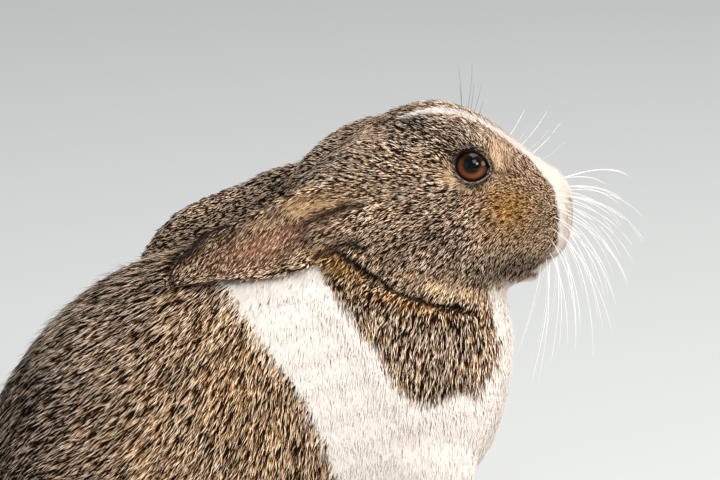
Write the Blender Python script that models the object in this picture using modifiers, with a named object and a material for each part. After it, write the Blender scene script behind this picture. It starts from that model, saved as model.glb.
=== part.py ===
"""A life-size domestic rabbit, sitting alert with its ears laid back along its neck.

The solids give the outer shape of the coat. The body is modelled whole, as lofts
and rounded masses that are fused, smoothed and reduced, and is then parted with
thin cuts into head, neck, trunk, tail, legs and feet. Eyes, ears and the longest
whiskers are pieces of their own.

Sizes are in millimetres, with +X forwards, +Y to the rabbit's left and +Z up from
the floor. The scene is in metres, so every mesh is scaled by MM as it is made.
"""

import math

import bmesh
import bpy
from mathutils import Matrix, Vector
from mathutils.bvhtree import BVHTree

MM = 0.001
GAP = 0.3  # clearance between pieces that are parted from each other
SIDES = {"right": -1, "left": 1}

CLAY_VOXEL = 2.2
CLAY_SMOOTHING = 10
CLAY_TRIANGLES = 3500
RING_SIDES = 36
CUTTER_SEGMENTS = 20

EYE_RADIUS = 8.3
EYE_CENTRE = (99.5, 21.4, 225.3)
EYE_SEGMENTS = 16
SOCKET_SEGMENTS = 14
SOCKET_GAP = GAP + 0.1  # a little more, as the socket's facets cut its corners

EAR_WALL = 3.6
EAR_RINGS = 15
EAR_RIM_POINTS = 8
EAR_RIM_ANGLE = 98  # how far the rim bends round the bowl, each way
EAR_REACH = {"right": 1.0, "left": 1.13}  # the left ear lies a little further back
EAR_DROP = {"right": 0.0, "left": 5.0}  # its tip a little lower
EAR_SPREAD = {"right": 1.0, "left": 0.9}  # and closer to the neck

WHISKER_RADIUS = 0.32
# On the left side: name, root in the whisker pad, the bend and the tip.
WHISKERS = [
    ("whisker_high", (134.0, 14.0, 199.0), (160.0, 26.0, 210.0), (178.5, 34.0, 214.0)),
    ("whisker_middle", (134.0, 14.0, 193.0), (168.0, 30.0, 184.0), (183.5, 36.0, 154.0)),
    ("whisker_low", (129.0, 13.0, 184.0), (150.0, 26.0, 160.0), (151.0, 32.0, 127.0)),
]

# Colour and roughness of each kind of surface.
AGOUTI_COAT = ((0.23, 0.17, 0.12), 0.75)
WHITE_COAT = ((0.86, 0.82, 0.77), 0.7)
EYE_GLOSS = ((0.055, 0.022, 0.012), 0.08)
WHISKER_HAIR = ((0.85, 0.81, 0.74), 0.35)
SURFACES = {
    "head": AGOUTI_COAT,
    "neck": WHITE_COAT,
    "trunk": AGOUTI_COAT,
    "tail": AGOUTI_COAT,
    "ear": AGOUTI_COAT,
    "thigh": AGOUTI_COAT,
    "hindfoot": WHITE_COAT,
    "foreleg": WHITE_COAT,
    "forepaw": WHITE_COAT,
    "eye": EYE_GLOSS,
    "whisker": WHISKER_HAIR,
}

# The head, from nose tip to nape. Each station is a slice square to X:
# x, top, height of the widest place, bottom, half width, crown power, jaw power.
# A power over 1 makes that half of the slice narrower.
HEAD_STATIONS = [
    (146.0, 205.5, 200.0, 195.5, 3.0, 1.0, 1.0),
    (144.0, 212.0, 197.0, 186.5, 9.5, 1.1, 0.95),
    (139.5, 218.5, 195.0, 178.0, 14.5, 1.3, 1.05),
    (131.0, 224.0, 195.0, 170.5, 18.5, 1.5, 1.1),
    (121.0, 231.5, 195.0, 165.5, 23.0, 1.4, 1.0),
    (110.0, 239.5, 196.0, 162.0, 27.5, 1.2, 0.8),
    (98.0, 246.0, 198.0, 160.5, 30.0, 1.0, 0.8),
    (84.0, 249.5, 197.0, 162.0, 32.5, 0.95, 0.8),
    (69.0, 247.5, 197.0, 166.0, 32.5, 0.95, 0.8),
    (56.0, 241.0, 200.0, 173.0, 30.0, 0.95, 0.9),
    (45.0, 231.0, 203.0, 183.0, 23.0, 0.95, 1.0),
    (38.0, 217.0, 206.0, 195.0, 9.0, 1.0, 1.0),
]

# The trunk with the neck and chest ruff, from chest to rump, in the same form.
TRUNK_STATIONS = [
    (118.5, 147.0, 139.0, 131.0, 6.0, 1.0, 1.0),
    (116.5, 159.0, 135.0, 113.0, 19.0, 1.0, 1.0),
    (111.0, 171.0, 130.0, 94.0, 31.0, 1.0, 1.0),
    (100.0, 187.0, 124.0, 76.0, 41.0, 1.0, 1.0),
    (82.0, 195.0, 120.0, 62.0, 48.0, 1.05, 1.0),
    (58.0, 199.0, 114.0, 50.0, 52.0, 1.1, 0.95),
    (30.0, 197.0, 106.0, 38.0, 56.0, 1.05, 0.9),
    (0.0, 191.5, 95.0, 26.0, 61.0, 1.0, 0.85),
    (-30.0, 182.5, 86.0, 17.0, 65.0, 0.95, 0.85),
    (-60.0, 169.5, 77.0, 12.0, 66.5, 0.93, 0.85),
    (-85.0, 151.5, 70.0, 11.0, 62.5, 0.93, 0.85),
    (-104.0, 129.0, 66.0, 15.0, 54.0, 0.95, 0.9),
    (-118.0, 105.0, 62.0, 24.0, 41.0, 1.0, 1.0),
    (-127.0, 86.0, 60.0, 36.0, 25.0, 1.0, 1.0),
    (-131.0, 70.0, 60.0, 50.0, 8.0, 1.0, 1.0),
]

# The right ear, from root to tip: x, y, z of the middle of its opening, height, depth.
EAR_STATIONS = [
    (72.0, -14.0, 218.0, 16.0, 7.0),
    (56.0, -22.0, 211.0, 21.0, 8.5),
    (40.0, -29.5, 205.0, 31.0, 10.0),
    (24.0, -34.5, 199.5, 36.0, 10.5),
    (8.0, -37.0, 193.5, 32.5, 9.5),
    (-8.0, -37.5, 189.5, 29.0, 8.5),
    (-20.0, -37.5, 185.5, 22.5, 7.5),
    (-29.0, -37.5, 180.0, 14.5, 6.0),
    (-34.5, -37.5, 177.0, 7.5, 4.0),
    (-37.0, -37.5, 176.0, 2.4, 2.2),
]


def ease(stations, count):
    """The stations' values at count even steps, along a Catmull-Rom curve through them."""
    rows = [stations[0], *stations, stations[-1]]
    made = []
    for step in range(count):
        at = step / (count - 1) * (len(stations) - 1)
        i = min(int(at), len(stations) - 2)
        t = at - i
        before, start, end, after = rows[i : i + 4]
        made.append(
            [
                0.5
                * (
                    2 * q
                    + (r - p) * t
                    + (2 * p - 5 * q + 4 * r - s) * t * t
                    + (3 * q - p - 3 * r + s) * t**3
                )
                for p, q, r, s in zip(before, start, end, after)
            ]
        )
    return made


def cap_fan(bm, ring):
    """Closes a ring with triangles to its middle."""
    hub = bm.verts.new(sum((v.co for v in ring), Vector()) / len(ring))
    for i in range(len(ring)):
        bm.faces.new((ring[i], ring[(i + 1) % len(ring)], hub))


def cap_ladder(bm, ring):
    """Closes a ring whose second half comes back alongside its first."""
    last = len(ring) - 1
    for i in range(len(ring) // 2 - 1):
        bm.faces.new((ring[i], ring[i + 1], ring[last - i - 1], ring[last - i]))


def loft(rings, cap=cap_fan):
    """A closed mesh through rings of points."""
    bm = bmesh.new()
    made = [[bm.verts.new(Vector(p) * MM) for p in ring] for ring in rings]
    for one, other in zip(made, made[1:]):
        for i in range(len(one)):
            j = (i + 1) % len(one)
            bm.faces.new((one[i], one[j], other[j], other[i]))
    cap(bm, made[0])
    cap(bm, made[-1])
    bmesh.ops.recalc_face_normals(bm, faces=bm.faces)
    return bm


def slice_loft(stations, count):
    """A loft of egg-shaped slices square to X."""
    rings = []
    for x, top, middle, bottom, half, crown, jaw in ease(stations, count):
        ring = []
        for k in range(RING_SIDES):
            angle = 2 * math.pi * k / RING_SIDES
            side, rise = math.cos(angle), math.sin(angle)
            power, reach = (crown, top - middle) if rise > 0 else (jaw, middle - bottom)
            y = math.copysign(half * abs(side) ** power, side)
            ring.append((x, y, middle + reach * rise))
        rings.append(ring)
    return loft(rings)


def frames(rows):
    """For each row, its point, the direction along the run, and those level across and over it."""
    for i, row in enumerate(rows):
        before, after = rows[max(i - 1, 0)], rows[min(i + 1, len(rows) - 1)]
        along = Vector([b - a for a, b in zip(before[:3], after[:3])]).normalized()
        across = Vector((0, 1, 0))
        across = (across - along * across.dot(along)).normalized()
        yield row, Vector(row[:3]), along, across, along.cross(across)


def tube_loft(stations, count):
    """A loft of ellipses along a bent axis. Each station is x, y, z, half width, half depth."""
    rings = []
    for row, middle, _, across, over in frames(ease(stations, count)):
        ring = []
        for k in range(RING_SIDES):
            angle = 2 * math.pi * k / RING_SIDES
            offset = across * (row[3] * math.cos(angle)) + over * (row[4] * math.sin(angle))
            ring.append(middle + offset)
        rings.append(ring)
    return loft(rings)


def mass(centre, radii, pitch=0.0, yaw=0.0, roll=0.0, grow=0.0, segments=32):
    """A rounded mass: an ellipsoid turned about Y (pitch), Z (yaw) and X (roll), in degrees."""
    bm = bmesh.new()
    bmesh.ops.create_uvsphere(bm, u_segments=segments, v_segments=segments * 5 // 8, radius=1.0)
    turn = (
        Matrix.Rotation(math.radians(yaw), 4, "Z")
        @ Matrix.Rotation(math.radians(pitch), 4, "Y")
        @ Matrix.Rotation(math.radians(roll), 4, "X")
    )
    size = Matrix.Diagonal((*((r + grow) * MM for r in radii), 1))
    place = Matrix.Translation(Vector(centre) * MM)
    bmesh.ops.transform(bm, matrix=place @ turn @ size, verts=bm.verts)
    return bm


def block(low, high, grow=0.0, pitch=0.0):
    """A box from its low to its high corner, turned about its middle by pitch degrees about Y."""
    bm = bmesh.new()
    bmesh.ops.create_cube(bm, size=1.0)
    place = Matrix.Translation([(a + b) / 2 * MM for a, b in zip(low, high)])
    turn = Matrix.Rotation(math.radians(pitch), 4, "Y")
    size = Matrix.Diagonal((*((b - a + 2 * grow) * MM for a, b in zip(low, high)), 1))
    bmesh.ops.transform(bm, matrix=place @ turn @ size, verts=bm.verts)
    return bm


def both(make):
    """The piece that make(side) gives, for each side of the body."""
    return [make(side) for side in SIDES.values()]


def ear_rows(side, reach, drop, spread):
    """The ear's stations, stretched from the root by reach and let down towards the tip by drop."""
    rows = ease(EAR_STATIONS, EAR_RINGS)
    root_x, _, root_z = rows[0][:3]
    placed = []
    for i, (x, y, z, height, depth) in enumerate(rows):
        fall = drop * i / (EAR_RINGS - 1)
        x = root_x + (x - root_x) * reach
        z = root_z + (z - root_z) * reach - fall
        placed.append([x, y * -side * spread, z, height, depth])
    return placed


def ear(side, reach, drop, spread):
    """A long cupped ear that opens outwards."""
    rings = []
    for row, middle, _, across, over in frames(ear_rows(side, reach, drop, spread)):
        out = across * side
        half, depth = row[3] / 2, row[4]
        wall = min(EAR_WALL, half * 0.9, depth * 0.8)
        ring = []
        steps = range(EAR_RIM_POINTS)
        for shrink, order in ((0.0, steps), (wall, reversed(steps))):
            for k in order:
                angle = math.radians(EAR_RIM_ANGLE * (2 * k / (EAR_RIM_POINTS - 1) - 1))
                rise = over * ((half - shrink) * math.sin(angle))
                ring.append(middle + rise - out * ((depth - shrink) * math.cos(angle)))
        rings.append(ring)
    return loft(rings, cap_ladder)


def muzzle_masses():
    """Whisker pads, chin and nose pad."""
    pads = both(lambda s: mass((131, s * 8.5, 190), (13, 9.5, 11.5), pitch=20))
    chin = mass((126, 0, 174), (11, 9.5, 8), pitch=25)
    nose = mass((139.0, 0, 205.5), (6.5, 7.5, 8.5))
    return [*pads, chin, nose]


def face_masses():
    """Cheeks, brows and the roots of the ears."""
    cheeks = both(lambda s: mass((86, s * 17, 187), (29, 17, 22), pitch=8))
    brows = both(lambda s: mass((97, s * 15.5, 229), (20, 10, 12), pitch=10))
    roots = both(lambda s: mass((45, s * 18, 214.5), (35, 13, 18), pitch=-36))
    lobes = both(lambda s: mass((43, s * 24, 200), (21, 11.5, 13.5), pitch=-28))
    return [*cheeks, *brows, *roots, *lobes]


def neck_masses():
    nape = mass((40, 0, 186), (44, 33, 26), pitch=-24)
    throat = mass((87, 0, 151), (26, 31, 26), pitch=-30)
    return [nape, throat]


def leg_masses():
    """Shoulders, thighs and the fuller parts of the legs."""
    shoulders = both(lambda s: mass((64, s * 27, 104), (36, 23, 50), pitch=-24))
    thighs = both(lambda s: mass((-50, s * 43, 59), (61, 27, 49), pitch=12, yaw=-s * 5))
    knees = both(lambda s: mass((-16, s * 45, 43), (38, 23, 31), pitch=16))
    return [*shoulders, *thighs, *knees]


def forelegs():
    """From elbow to toes."""
    def leg(s):
        return tube_loft(
            [
                (66, s * 29, 128, 8, 14),
                (70, s * 29, 108, 16, 24),
                (74, s * 26, 86, 17, 24),
                (78, s * 24, 66, 14.5, 18.5),
                (83, s * 21.5, 47, 12, 14),
                (88, s * 20.5, 28, 11, 12),
                (92, s * 20, 14, 11.5, 12.5),
                (101, s * 20, 6.5, 12.5, 8.5),
                (111, s * 20, 5.0, 12, 7),
                (118, s * 20, 3.5, 8, 5),
            ],
            24,
        )
    return both(leg)


def hind_feet():
    """The long feet, flat on the floor from hock to toes."""
    def foot(s):
        return tube_loft(
            [
                (-90, s * 40, 13, 8, 8),
                (-81, s * 41, 13, 12.5, 14),
                (-55, s * 44, 10.5, 13, 13),
                (-25, s * 48, 8.5, 13.5, 11),
                (0, s * 50.5, 7, 14, 9),
                (16, s * 52, 5.5, 13, 7.5),
                (25, s * 53, 4, 8, 5),
            ],
            26,
        )
    return both(foot)


def add_object(name, bm, collection):
    mesh = bpy.data.meshes.new(name)
    bm.to_mesh(mesh)
    bm.free()
    obj = bpy.data.objects.new(name, mesh)
    collection.objects.link(obj)
    return obj


def fuse(name, pieces, collection):
    """One object that holds all these meshes."""
    bm = bmesh.new()
    for piece in pieces:
        mesh = bpy.data.meshes.new("piece")
        piece.to_mesh(mesh)
        piece.free()
        bm.from_mesh(mesh)
        bpy.data.meshes.remove(mesh)
    return add_object(name, bm, collection)


def apply_modifiers(obj):
    """Makes the evaluated mesh the object's own."""
    graph = bpy.context.evaluated_depsgraph_get()
    mesh = bpy.data.meshes.new_from_object(obj.evaluated_get(graph))
    obj.modifiers.clear()
    old = obj.data
    obj.data = mesh
    bpy.data.meshes.remove(old)


def boolean(obj, operation, bm):
    """Applies one Boolean with a mesh that is used up."""
    cutter = add_object("cutter", bm, obj.users_collection[0])
    step = obj.modifiers.new(operation.lower(), "BOOLEAN")
    step.operation = operation
    step.solver = "EXACT"
    step.object = cutter
    apply_modifiers(obj)
    old = cutter.data
    bpy.data.objects.remove(cutter)
    bpy.data.meshes.remove(old)


def carve(name, body, region):
    """Parts from the body the piece inside region(grow), leaving GAP between the two."""
    piece = body.copy()
    piece.data = body.data.copy()
    piece.name = name
    body.users_collection[0].objects.link(piece)
    boolean(piece, "INTERSECT", region(0.0))
    boolean(body, "DIFFERENCE", region(GAP))
    return piece


def body_clay(collection):
    """The whole body fused, smoothed and reduced, standing on flat soles."""
    pieces = [
        slice_loft(HEAD_STATIONS, 60),
        slice_loft(TRUNK_STATIONS, 70),
        *muzzle_masses(),
        *face_masses(),
        *neck_masses(),
        *leg_masses(),
        *forelegs(),
        *hind_feet(),
        mass((-123, 0, 43), (15, 16, 27), pitch=-24),
    ]
    body = fuse("trunk", pieces, collection)
    remesh = body.modifiers.new("fuse", "REMESH")
    remesh.mode = "VOXEL"
    remesh.voxel_size = CLAY_VOXEL * MM
    remesh.adaptivity = 0
    smooth = body.modifiers.new("smooth", "SMOOTH")
    smooth.factor = 0.5
    smooth.iterations = CLAY_SMOOTHING
    apply_modifiers(body)
    body.data.calc_loop_triangles()
    reduce = body.modifiers.new("reduce", "DECIMATE")
    reduce.ratio = CLAY_TRIANGLES / len(body.data.loop_triangles)
    apply_modifiers(body)
    boolean(body, "DIFFERENCE", block((-200, -100, -20), (200, 100, 0)))
    return body


def add_whiskers(head, collection):
    """The longest whiskers, each beginning just clear of its whisker pad."""
    corners = [v.co for v in head.data.vertices]
    tree = BVHTree.FromPolygons(corners, [p.vertices for p in head.data.polygons])
    clear = (GAP + WHISKER_RADIUS) * MM
    for name, *points in WHISKERS:
        for side, sign in SIDES.items():
            root, bend, tip = (Vector((x, sign * y, z)) * MM for x, y, z in points)
            steps = [step / 60 for step in range(61)]
            path = [root.lerp(bend, t).lerp(bend.lerp(tip, t), t) for t in steps]
            outside = []
            for point in path:
                nearest, normal, _, _ = tree.find_nearest(point)
                if (point - nearest).dot(normal) > clear:
                    outside.append(point)
            whisker = tube_curve(f"{name}_{side}", outside[:: len(outside) // 6], collection)
            whisker.data.bevel_depth = WHISKER_RADIUS * MM


def tube_curve(name, points, collection):
    curve = bpy.data.curves.new(name, "CURVE")
    curve.dimensions = "3D"
    curve.bevel_resolution = 1
    curve.use_fill_caps = True
    spline = curve.splines.new("POLY")
    spline.points.add(len(points) - 1)
    for point, place in zip(spline.points, points):
        point.co = (*place, 1.0)
    obj = bpy.data.objects.new(name, curve)
    collection.objects.link(obj)
    return obj


def inflated(obj, amount):
    """A copy of the object's mesh, moved outwards all over."""
    bm = bmesh.new()
    bm.from_mesh(obj.data)
    bm.normal_update()
    for vert, normal in [(v, v.normal.copy()) for v in bm.verts]:
        vert.co += normal * (amount * MM)
    return bm


def add_ears(body):
    ears = []
    for side, sign in SIDES.items():
        shape = ear(sign, EAR_REACH[side], EAR_DROP[side], EAR_SPREAD[side])
        made = add_object(f"ear_{side}", shape, body.users_collection[0])
        boolean(made, "DIFFERENCE", inflated(body, 1.5 * GAP))
        ears.append(made)
    return ears


def add_eyes(body):
    for side, sign in SIDES.items():
        x, y, z = EYE_CENTRE
        eye = (x, sign * y, z)
        ball = [EYE_RADIUS] * 3
        boolean(body, "DIFFERENCE", mass(eye, ball, grow=SOCKET_GAP, segments=SOCKET_SEGMENTS))
        add_object(f"eye_{side}", mass(eye, ball, segments=EYE_SEGMENTS), body.users_collection[0])


def head_region(grow):
    return mass((92, 0, 216), (86, 62, 62), pitch=-5, grow=grow, segments=CUTTER_SEGMENTS)


def neck_region(grow):
    return block((60, -100, 100), (160, 100, 260), grow, pitch=-42)


def tail_region(grow):
    return mass((-136, 0, 42), (22, 26, 36), pitch=-24, grow=grow, segments=16)


def thigh_region(side):
    centre, radii, yaw = (-46, side * 62, 52), (66, 40, 56), -side * 4
    return lambda grow: mass(centre, radii, pitch=10, yaw=yaw, grow=grow, segments=CUTTER_SEGMENTS)


def limb_region(side, front, back, top, inner, outer, pitch=0.0):
    """A box round one side's limb, from below the floor to top."""
    low, high = sorted((side * inner, side * outer))
    return lambda grow: block((back, low, -8), (front, high, top), grow, pitch)


def part_body(body):
    """Parts the body into its nodes. What is left of it at the end is the trunk."""
    head = carve("head", body, head_region)
    carve("tail", body, tail_region)
    for side, s in SIDES.items():
        carve(f"hindfoot_{side}", body, limb_region(s, 60, -130, 19, 24, 90))
        carve(f"thigh_{side}", body, thigh_region(s))
        carve(f"forepaw_{side}", body, limb_region(s, 140, 74, 19, 0, 60))
        carve(f"foreleg_{side}", body, limb_region(s, 140, 54, 64, 0, 60, pitch=-6))
    carve("neck", body, neck_region)
    return head


def add_materials(collection):
    for obj in collection.objects:
        kind = obj.name.split("_")[0]
        colour, roughness = SURFACES[kind]
        material = bpy.data.materials.new(f"{obj.name}_surface")
        material.use_nodes = True
        shader = material.node_tree.nodes["Principled BSDF"]
        shader.inputs["Base Color"].default_value = (*colour, 1.0)
        shader.inputs["Roughness"].default_value = roughness
        shader.inputs["Metallic"].default_value = 0.0
        material.diffuse_color = (*colour, 1.0)
        obj.data.materials.clear()
        obj.data.materials.append(material)


def stand_at_origin(collection):
    """Moves the rabbit so that the middle of its box, at floor level, is the origin."""
    bpy.context.view_layer.update()
    corners = [obj.matrix_world @ Vector(c) for obj in collection.objects for c in obj.bound_box]
    shift = [-(min(values) + max(values)) / 2 for values in zip(*corners)]
    for obj in collection.objects:
        obj.location.x += shift[0]
        obj.location.y += shift[1]


def main():
    for obj in list(bpy.data.objects):
        bpy.data.objects.remove(obj)
    rabbit = bpy.data.collections.new("rabbit")
    bpy.context.scene.collection.children.link(rabbit)
    body = body_clay(rabbit)
    add_ears(body)
    add_eyes(body)
    head = part_body(body)
    add_whiskers(head, rabbit)
    add_materials(rabbit)
    stand_at_origin(rabbit)


main()
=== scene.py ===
"""Looks of the life-size rabbit: one skin, its eyes and claws, and a coat of solid mesh tufts."""
import math

import bmesh
import bpy
import numpy as np
from mathutils import Matrix, Vector
from mathutils.bvhtree import BVHTree


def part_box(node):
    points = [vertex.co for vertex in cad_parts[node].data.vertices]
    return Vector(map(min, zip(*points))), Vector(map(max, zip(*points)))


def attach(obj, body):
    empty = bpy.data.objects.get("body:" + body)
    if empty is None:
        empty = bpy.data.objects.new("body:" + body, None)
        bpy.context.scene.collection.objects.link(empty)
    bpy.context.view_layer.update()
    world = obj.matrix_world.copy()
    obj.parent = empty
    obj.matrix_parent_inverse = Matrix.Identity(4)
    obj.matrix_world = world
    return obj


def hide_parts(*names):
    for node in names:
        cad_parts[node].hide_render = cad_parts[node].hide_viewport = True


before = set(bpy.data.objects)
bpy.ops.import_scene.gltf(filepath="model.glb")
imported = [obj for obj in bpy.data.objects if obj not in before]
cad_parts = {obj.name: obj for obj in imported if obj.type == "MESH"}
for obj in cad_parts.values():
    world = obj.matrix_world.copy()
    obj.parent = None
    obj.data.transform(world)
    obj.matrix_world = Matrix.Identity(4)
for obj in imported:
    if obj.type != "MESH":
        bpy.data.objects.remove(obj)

MM = 0.001
SIDES = {"right": -1, "left": 1}
rng = np.random.default_rng(20)
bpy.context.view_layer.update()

FLESH = [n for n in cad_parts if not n.startswith(("eye", "whisker"))]
KINDS = np.array([node.split("_")[0] for node in FLESH])
EARS = [n for n in FLESH if n.startswith("ear")]
BODY = [n for n in FLESH if n not in EARS]
WHISKER_NODES = [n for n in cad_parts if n.startswith("whisker")]

# Landmarks, in metres, from the solids.
HEAD_LOW, HEAD_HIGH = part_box("head")
NOSE_X = HEAD_HIGH.x
NOSE_BELOW_CROWN = 49 * MM
NOSE_TIP = np.array(Vector((NOSE_X, 0.0, HEAD_HIGH.z - NOSE_BELOW_CROWN)))
EYE_BOXES = {side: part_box(f"eye_{side}") for side in SIDES}
EYE_CENTRES = {side: (low + high) / 2 for side, (low, high) in EYE_BOXES.items()}
EYE_RADIUS = (EYE_BOXES["right"][1].z - EYE_BOXES["right"][0].z) / 2

# The camera looks from the rabbit's right, from a little above.
VIEW_ELEVATION = math.radians(15)
VIEW_WIDTH = 324 * MM
VIEW_CENTRE = Vector((NOSE_X - 96.5 * MM, -12 * MM, 188.5 * MM))
CAMERA_DISTANCE = 2.6
SENSOR = 36.0

# How finely the skin is rebuilt.
BODY_VOXEL = 1.5 * MM
EAR_VOXEL = 0.9 * MM
SKIN_VOXEL = 1.15 * MM
SINKING_STEPS = 6
# How high the flats under the feet reach, how high the coat stays thin, and how thin it is.
FLATS_HEIGHT = 2.5 * MM
THIN_HEIGHT = 4 * MM
THIN_DEPTH = 0.3 * MM
# How near the skin and the tufts come to the floor.
LOWEST_SKIN = 0.2 * MM
FLOOR_GAP = 0.5 * MM
# How close to the head an ear's skin is drawn into it, and how far: ahead, outwards and up.
# Then how close to both the crease between them is smoothed.
EAR_ROOT_REACH = 2.4 * MM
EAR_ROOT_PULL = np.array((6.5, -1.5, 0.0)) * MM
ROOT_BLEND_REACH = 4 * MM
# Triangles of the skin before its face is refined, and of each coat piece.
SKIN_TRIANGLES = 145000
LAYER_TRIANGLES = 190000

# For each kind of node: how deep the skin lies under the coat, tuft length and tuft
# width in millimetres, and how many tufts lie over each point.
DEPTH, LENGTH, WIDTH, COVER = range(4)
COAT = {
    "head": (1.9, 4.6, 0.47, 2.9),
    "neck": (4.2, 8.8, 0.53, 3.1),
    "trunk": (4.4, 9.8, 0.56, 3.0),
    "tail": (4.5, 13.0, 0.8, 5.0),
    "ear": (0.6, 4.9, 0.47, 2.8),
    "thigh": (4.2, 9.8, 0.56, 3.0),
    "foreleg": (2.4, 7.0, 0.75, 4.0),
    "forepaw": (1.4, 4.2, 0.6, 3.2),
    "hindfoot": (1.8, 5.5, 0.7, 3.2),
}
# Tufts longer than BENT_FROM are bent, at BEND of their length. Some are guard hairs,
# which are thin and stand out, and steps of GOLDEN_SHARE spread the tufts' shades evenly.
BENT_FROM = 4.2 * MM
BEND = 0.55
GUARD_SHARE = 0.05
GUARD_WIDTH = 0.5
GOLDEN_SHARE = 0.618034
# How much tufts differ: the spread of their way and their bend, and the ranges of size and rise.
SWING_SPREAD, SWAY_SPREAD = 0.16, 0.06
SIZE_RANGE, RISE_RANGE = (0.75, 1.2), (0.65, 1.1)
# White fur with tufts longer than this, in millimetres, has more of them, and wider ones.
LONG_FUR = 6
WHITE_COVER, WHITE_WIDTH = 2.8, 1.7
# How rounded and how tilted a tuft's shading is, and how high its ridge, on white fur and elsewhere.
TUFT_FORM = (0.06, 0.7), (0.05, 0.15), (0.12, 0.4)


# ---------------------------------------------------------------- mesh helpers


def new_object(name, mesh):
    obj = bpy.data.objects.new(name, mesh)
    bpy.context.scene.collection.objects.link(obj)
    return obj


def drop(obj):
    mesh = obj.data
    bpy.data.objects.remove(obj)
    bpy.data.meshes.remove(mesh)


def apply_modifiers(obj):
    graph = bpy.context.evaluated_depsgraph_get()
    mesh = bpy.data.meshes.new_from_object(obj.evaluated_get(graph))
    obj.modifiers.clear()
    old = obj.data
    obj.data = mesh
    bpy.data.meshes.remove(old)


def rows_of(items, name, width, kind=float):
    """One row of numbers for each item of a mesh."""
    values = np.empty(len(items) * width, kind)
    items.foreach_get(name, values)
    return values.reshape(-1, width)


def points_of(mesh):
    return rows_of(mesh.vertices, "co", 3)


def normals_of(mesh):
    return rows_of(mesh.vertices, "normal", 3)


def edges_of(mesh):
    return rows_of(mesh.edges, "vertices", 2, np.int64)


def set_points(mesh, points):
    mesh.vertices.foreach_set("co", points.ravel())
    mesh.update()


def unit(vectors):
    return vectors / np.maximum(np.linalg.norm(vectors, axis=-1, keepdims=True), 1e-12)


def neighbour_mean(values, edges, count):
    """The mean of each vertex's neighbours' values."""
    a, b = edges.T
    degree = np.bincount(a, minlength=count) + np.bincount(b, minlength=count)
    if values.ndim == 1:
        total = np.bincount(a, values[b], count) + np.bincount(b, values[a], count)
        return total / np.maximum(degree, 1)
    means = [neighbour_mean(values[:, k], edges, count) for k in range(values.shape[1])]
    return np.stack(means, axis=1)


def relax(points, edges, weight, rounds):
    """Smooths points by as much as weight says, with a small push back against shrinking."""
    for _ in range(rounds):
        for step in (0.5, -0.47):
            points = points + (neighbour_mean(points, edges, len(points)) - points) * (weight * step)[:, None]
    return points


def mesh_from(bm, name):
    """A mesh made from a bmesh, which is then freed."""
    mesh = bpy.data.meshes.new(name)
    bm.to_mesh(mesh)
    bm.free()
    return mesh


def clean_copy(node, grow):
    """A node's mesh with its corners welded, moved outwards by grow."""
    bm = bmesh.new()
    bm.from_mesh(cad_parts[node].data)
    bmesh.ops.remove_doubles(bm, verts=bm.verts, dist=1e-6)
    bm.normal_update()
    for vert, normal in [(v, v.normal.copy()) for v in bm.verts]:
        vert.co += normal * grow
    return bm


def fused(name, nodes, voxel, grow=0.4 * MM, balls=()):
    """One closed object that holds these nodes, and balls given by centre and radius."""
    joined = bmesh.new()
    for centre, radius in balls:
        place = Matrix.Translation(centre)
        bmesh.ops.create_uvsphere(joined, u_segments=32, v_segments=20, radius=radius, matrix=place)
    for node in nodes:
        mesh = mesh_from(clean_copy(node, grow), "piece")
        joined.from_mesh(mesh)
        bpy.data.meshes.remove(mesh)
    obj = new_object(name, mesh_from(joined, name))
    voxel_remesh(obj, voxel)
    return obj


def voxel_remesh(obj, voxel):
    remesh = obj.modifiers.new("remesh", "REMESH")
    remesh.mode = "VOXEL"
    remesh.voxel_size = voxel
    apply_modifiers(obj)


def join(name, objects):
    joined = bmesh.new()
    for obj in objects:
        joined.from_mesh(obj.data)
    for obj in objects:
        drop(obj)
    return new_object(name, mesh_from(joined, name))


def tree_of_mesh(mesh):
    """A search tree over a mesh's faces."""
    return BVHTree.FromPolygons([v.co[:] for v in mesh.vertices], [p.vertices[:] for p in mesh.polygons])


def tree_of_nodes(nodes):
    """A search tree over these nodes' faces, and the index of the node that each face is of."""
    points, faces, owner = [], [], []
    for index, node in enumerate(nodes):
        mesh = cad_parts[node].data
        start = len(points)
        points.extend(v.co.copy() for v in mesh.vertices)
        for poly in mesh.polygons:
            faces.append([start + v for v in poly.vertices])
            owner.append(index)
    return BVHTree.FromPolygons(points, faces), owner


# ------------------------------------------------------------------- the skin


FINDER, OWNER = tree_of_nodes(FLESH)
HEAD_TREE, _ = tree_of_nodes(["head"])


def nearest_nodes(points):
    """The index in FLESH of the node nearest to each point."""
    return np.array([OWNER[FINDER.find_nearest(p)[2]] for p in points])


def coat_value(labels, column):
    """A column of COAT for each label."""
    return np.array([COAT[kind][column] for kind in KINDS])[labels]


def spread(values, edges, rounds):
    """Softens a value over the surface."""
    for _ in range(rounds):
        values = 0.5 * values + 0.5 * neighbour_mean(values, edges, len(values))
    return values


# How far behind the nose the cheeks end, in millimetres.
CHEEKS_LENGTH = 62


def face_nearness(points):
    """1 at the nose, falling to 0 at the back of the cheeks, and 0 below the head."""
    behind = (NOSE_X - points[:, 0]) / MM
    at_head = points[:, 2] > HEAD_LOW.z
    return np.clip(1 - behind / CHEEKS_LENGTH, 0, 1) * at_head


def white_front_depth(points, kinds):
    """The share of its full depth that the coat has: less under the smooth white fur of the chest."""
    front = np.isin(kinds, ["neck", "trunk"]) & (signed(seen_from_side(points), FRONT_WHITE) > 0)
    return np.where(front, 0.62, 1.0)


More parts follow.
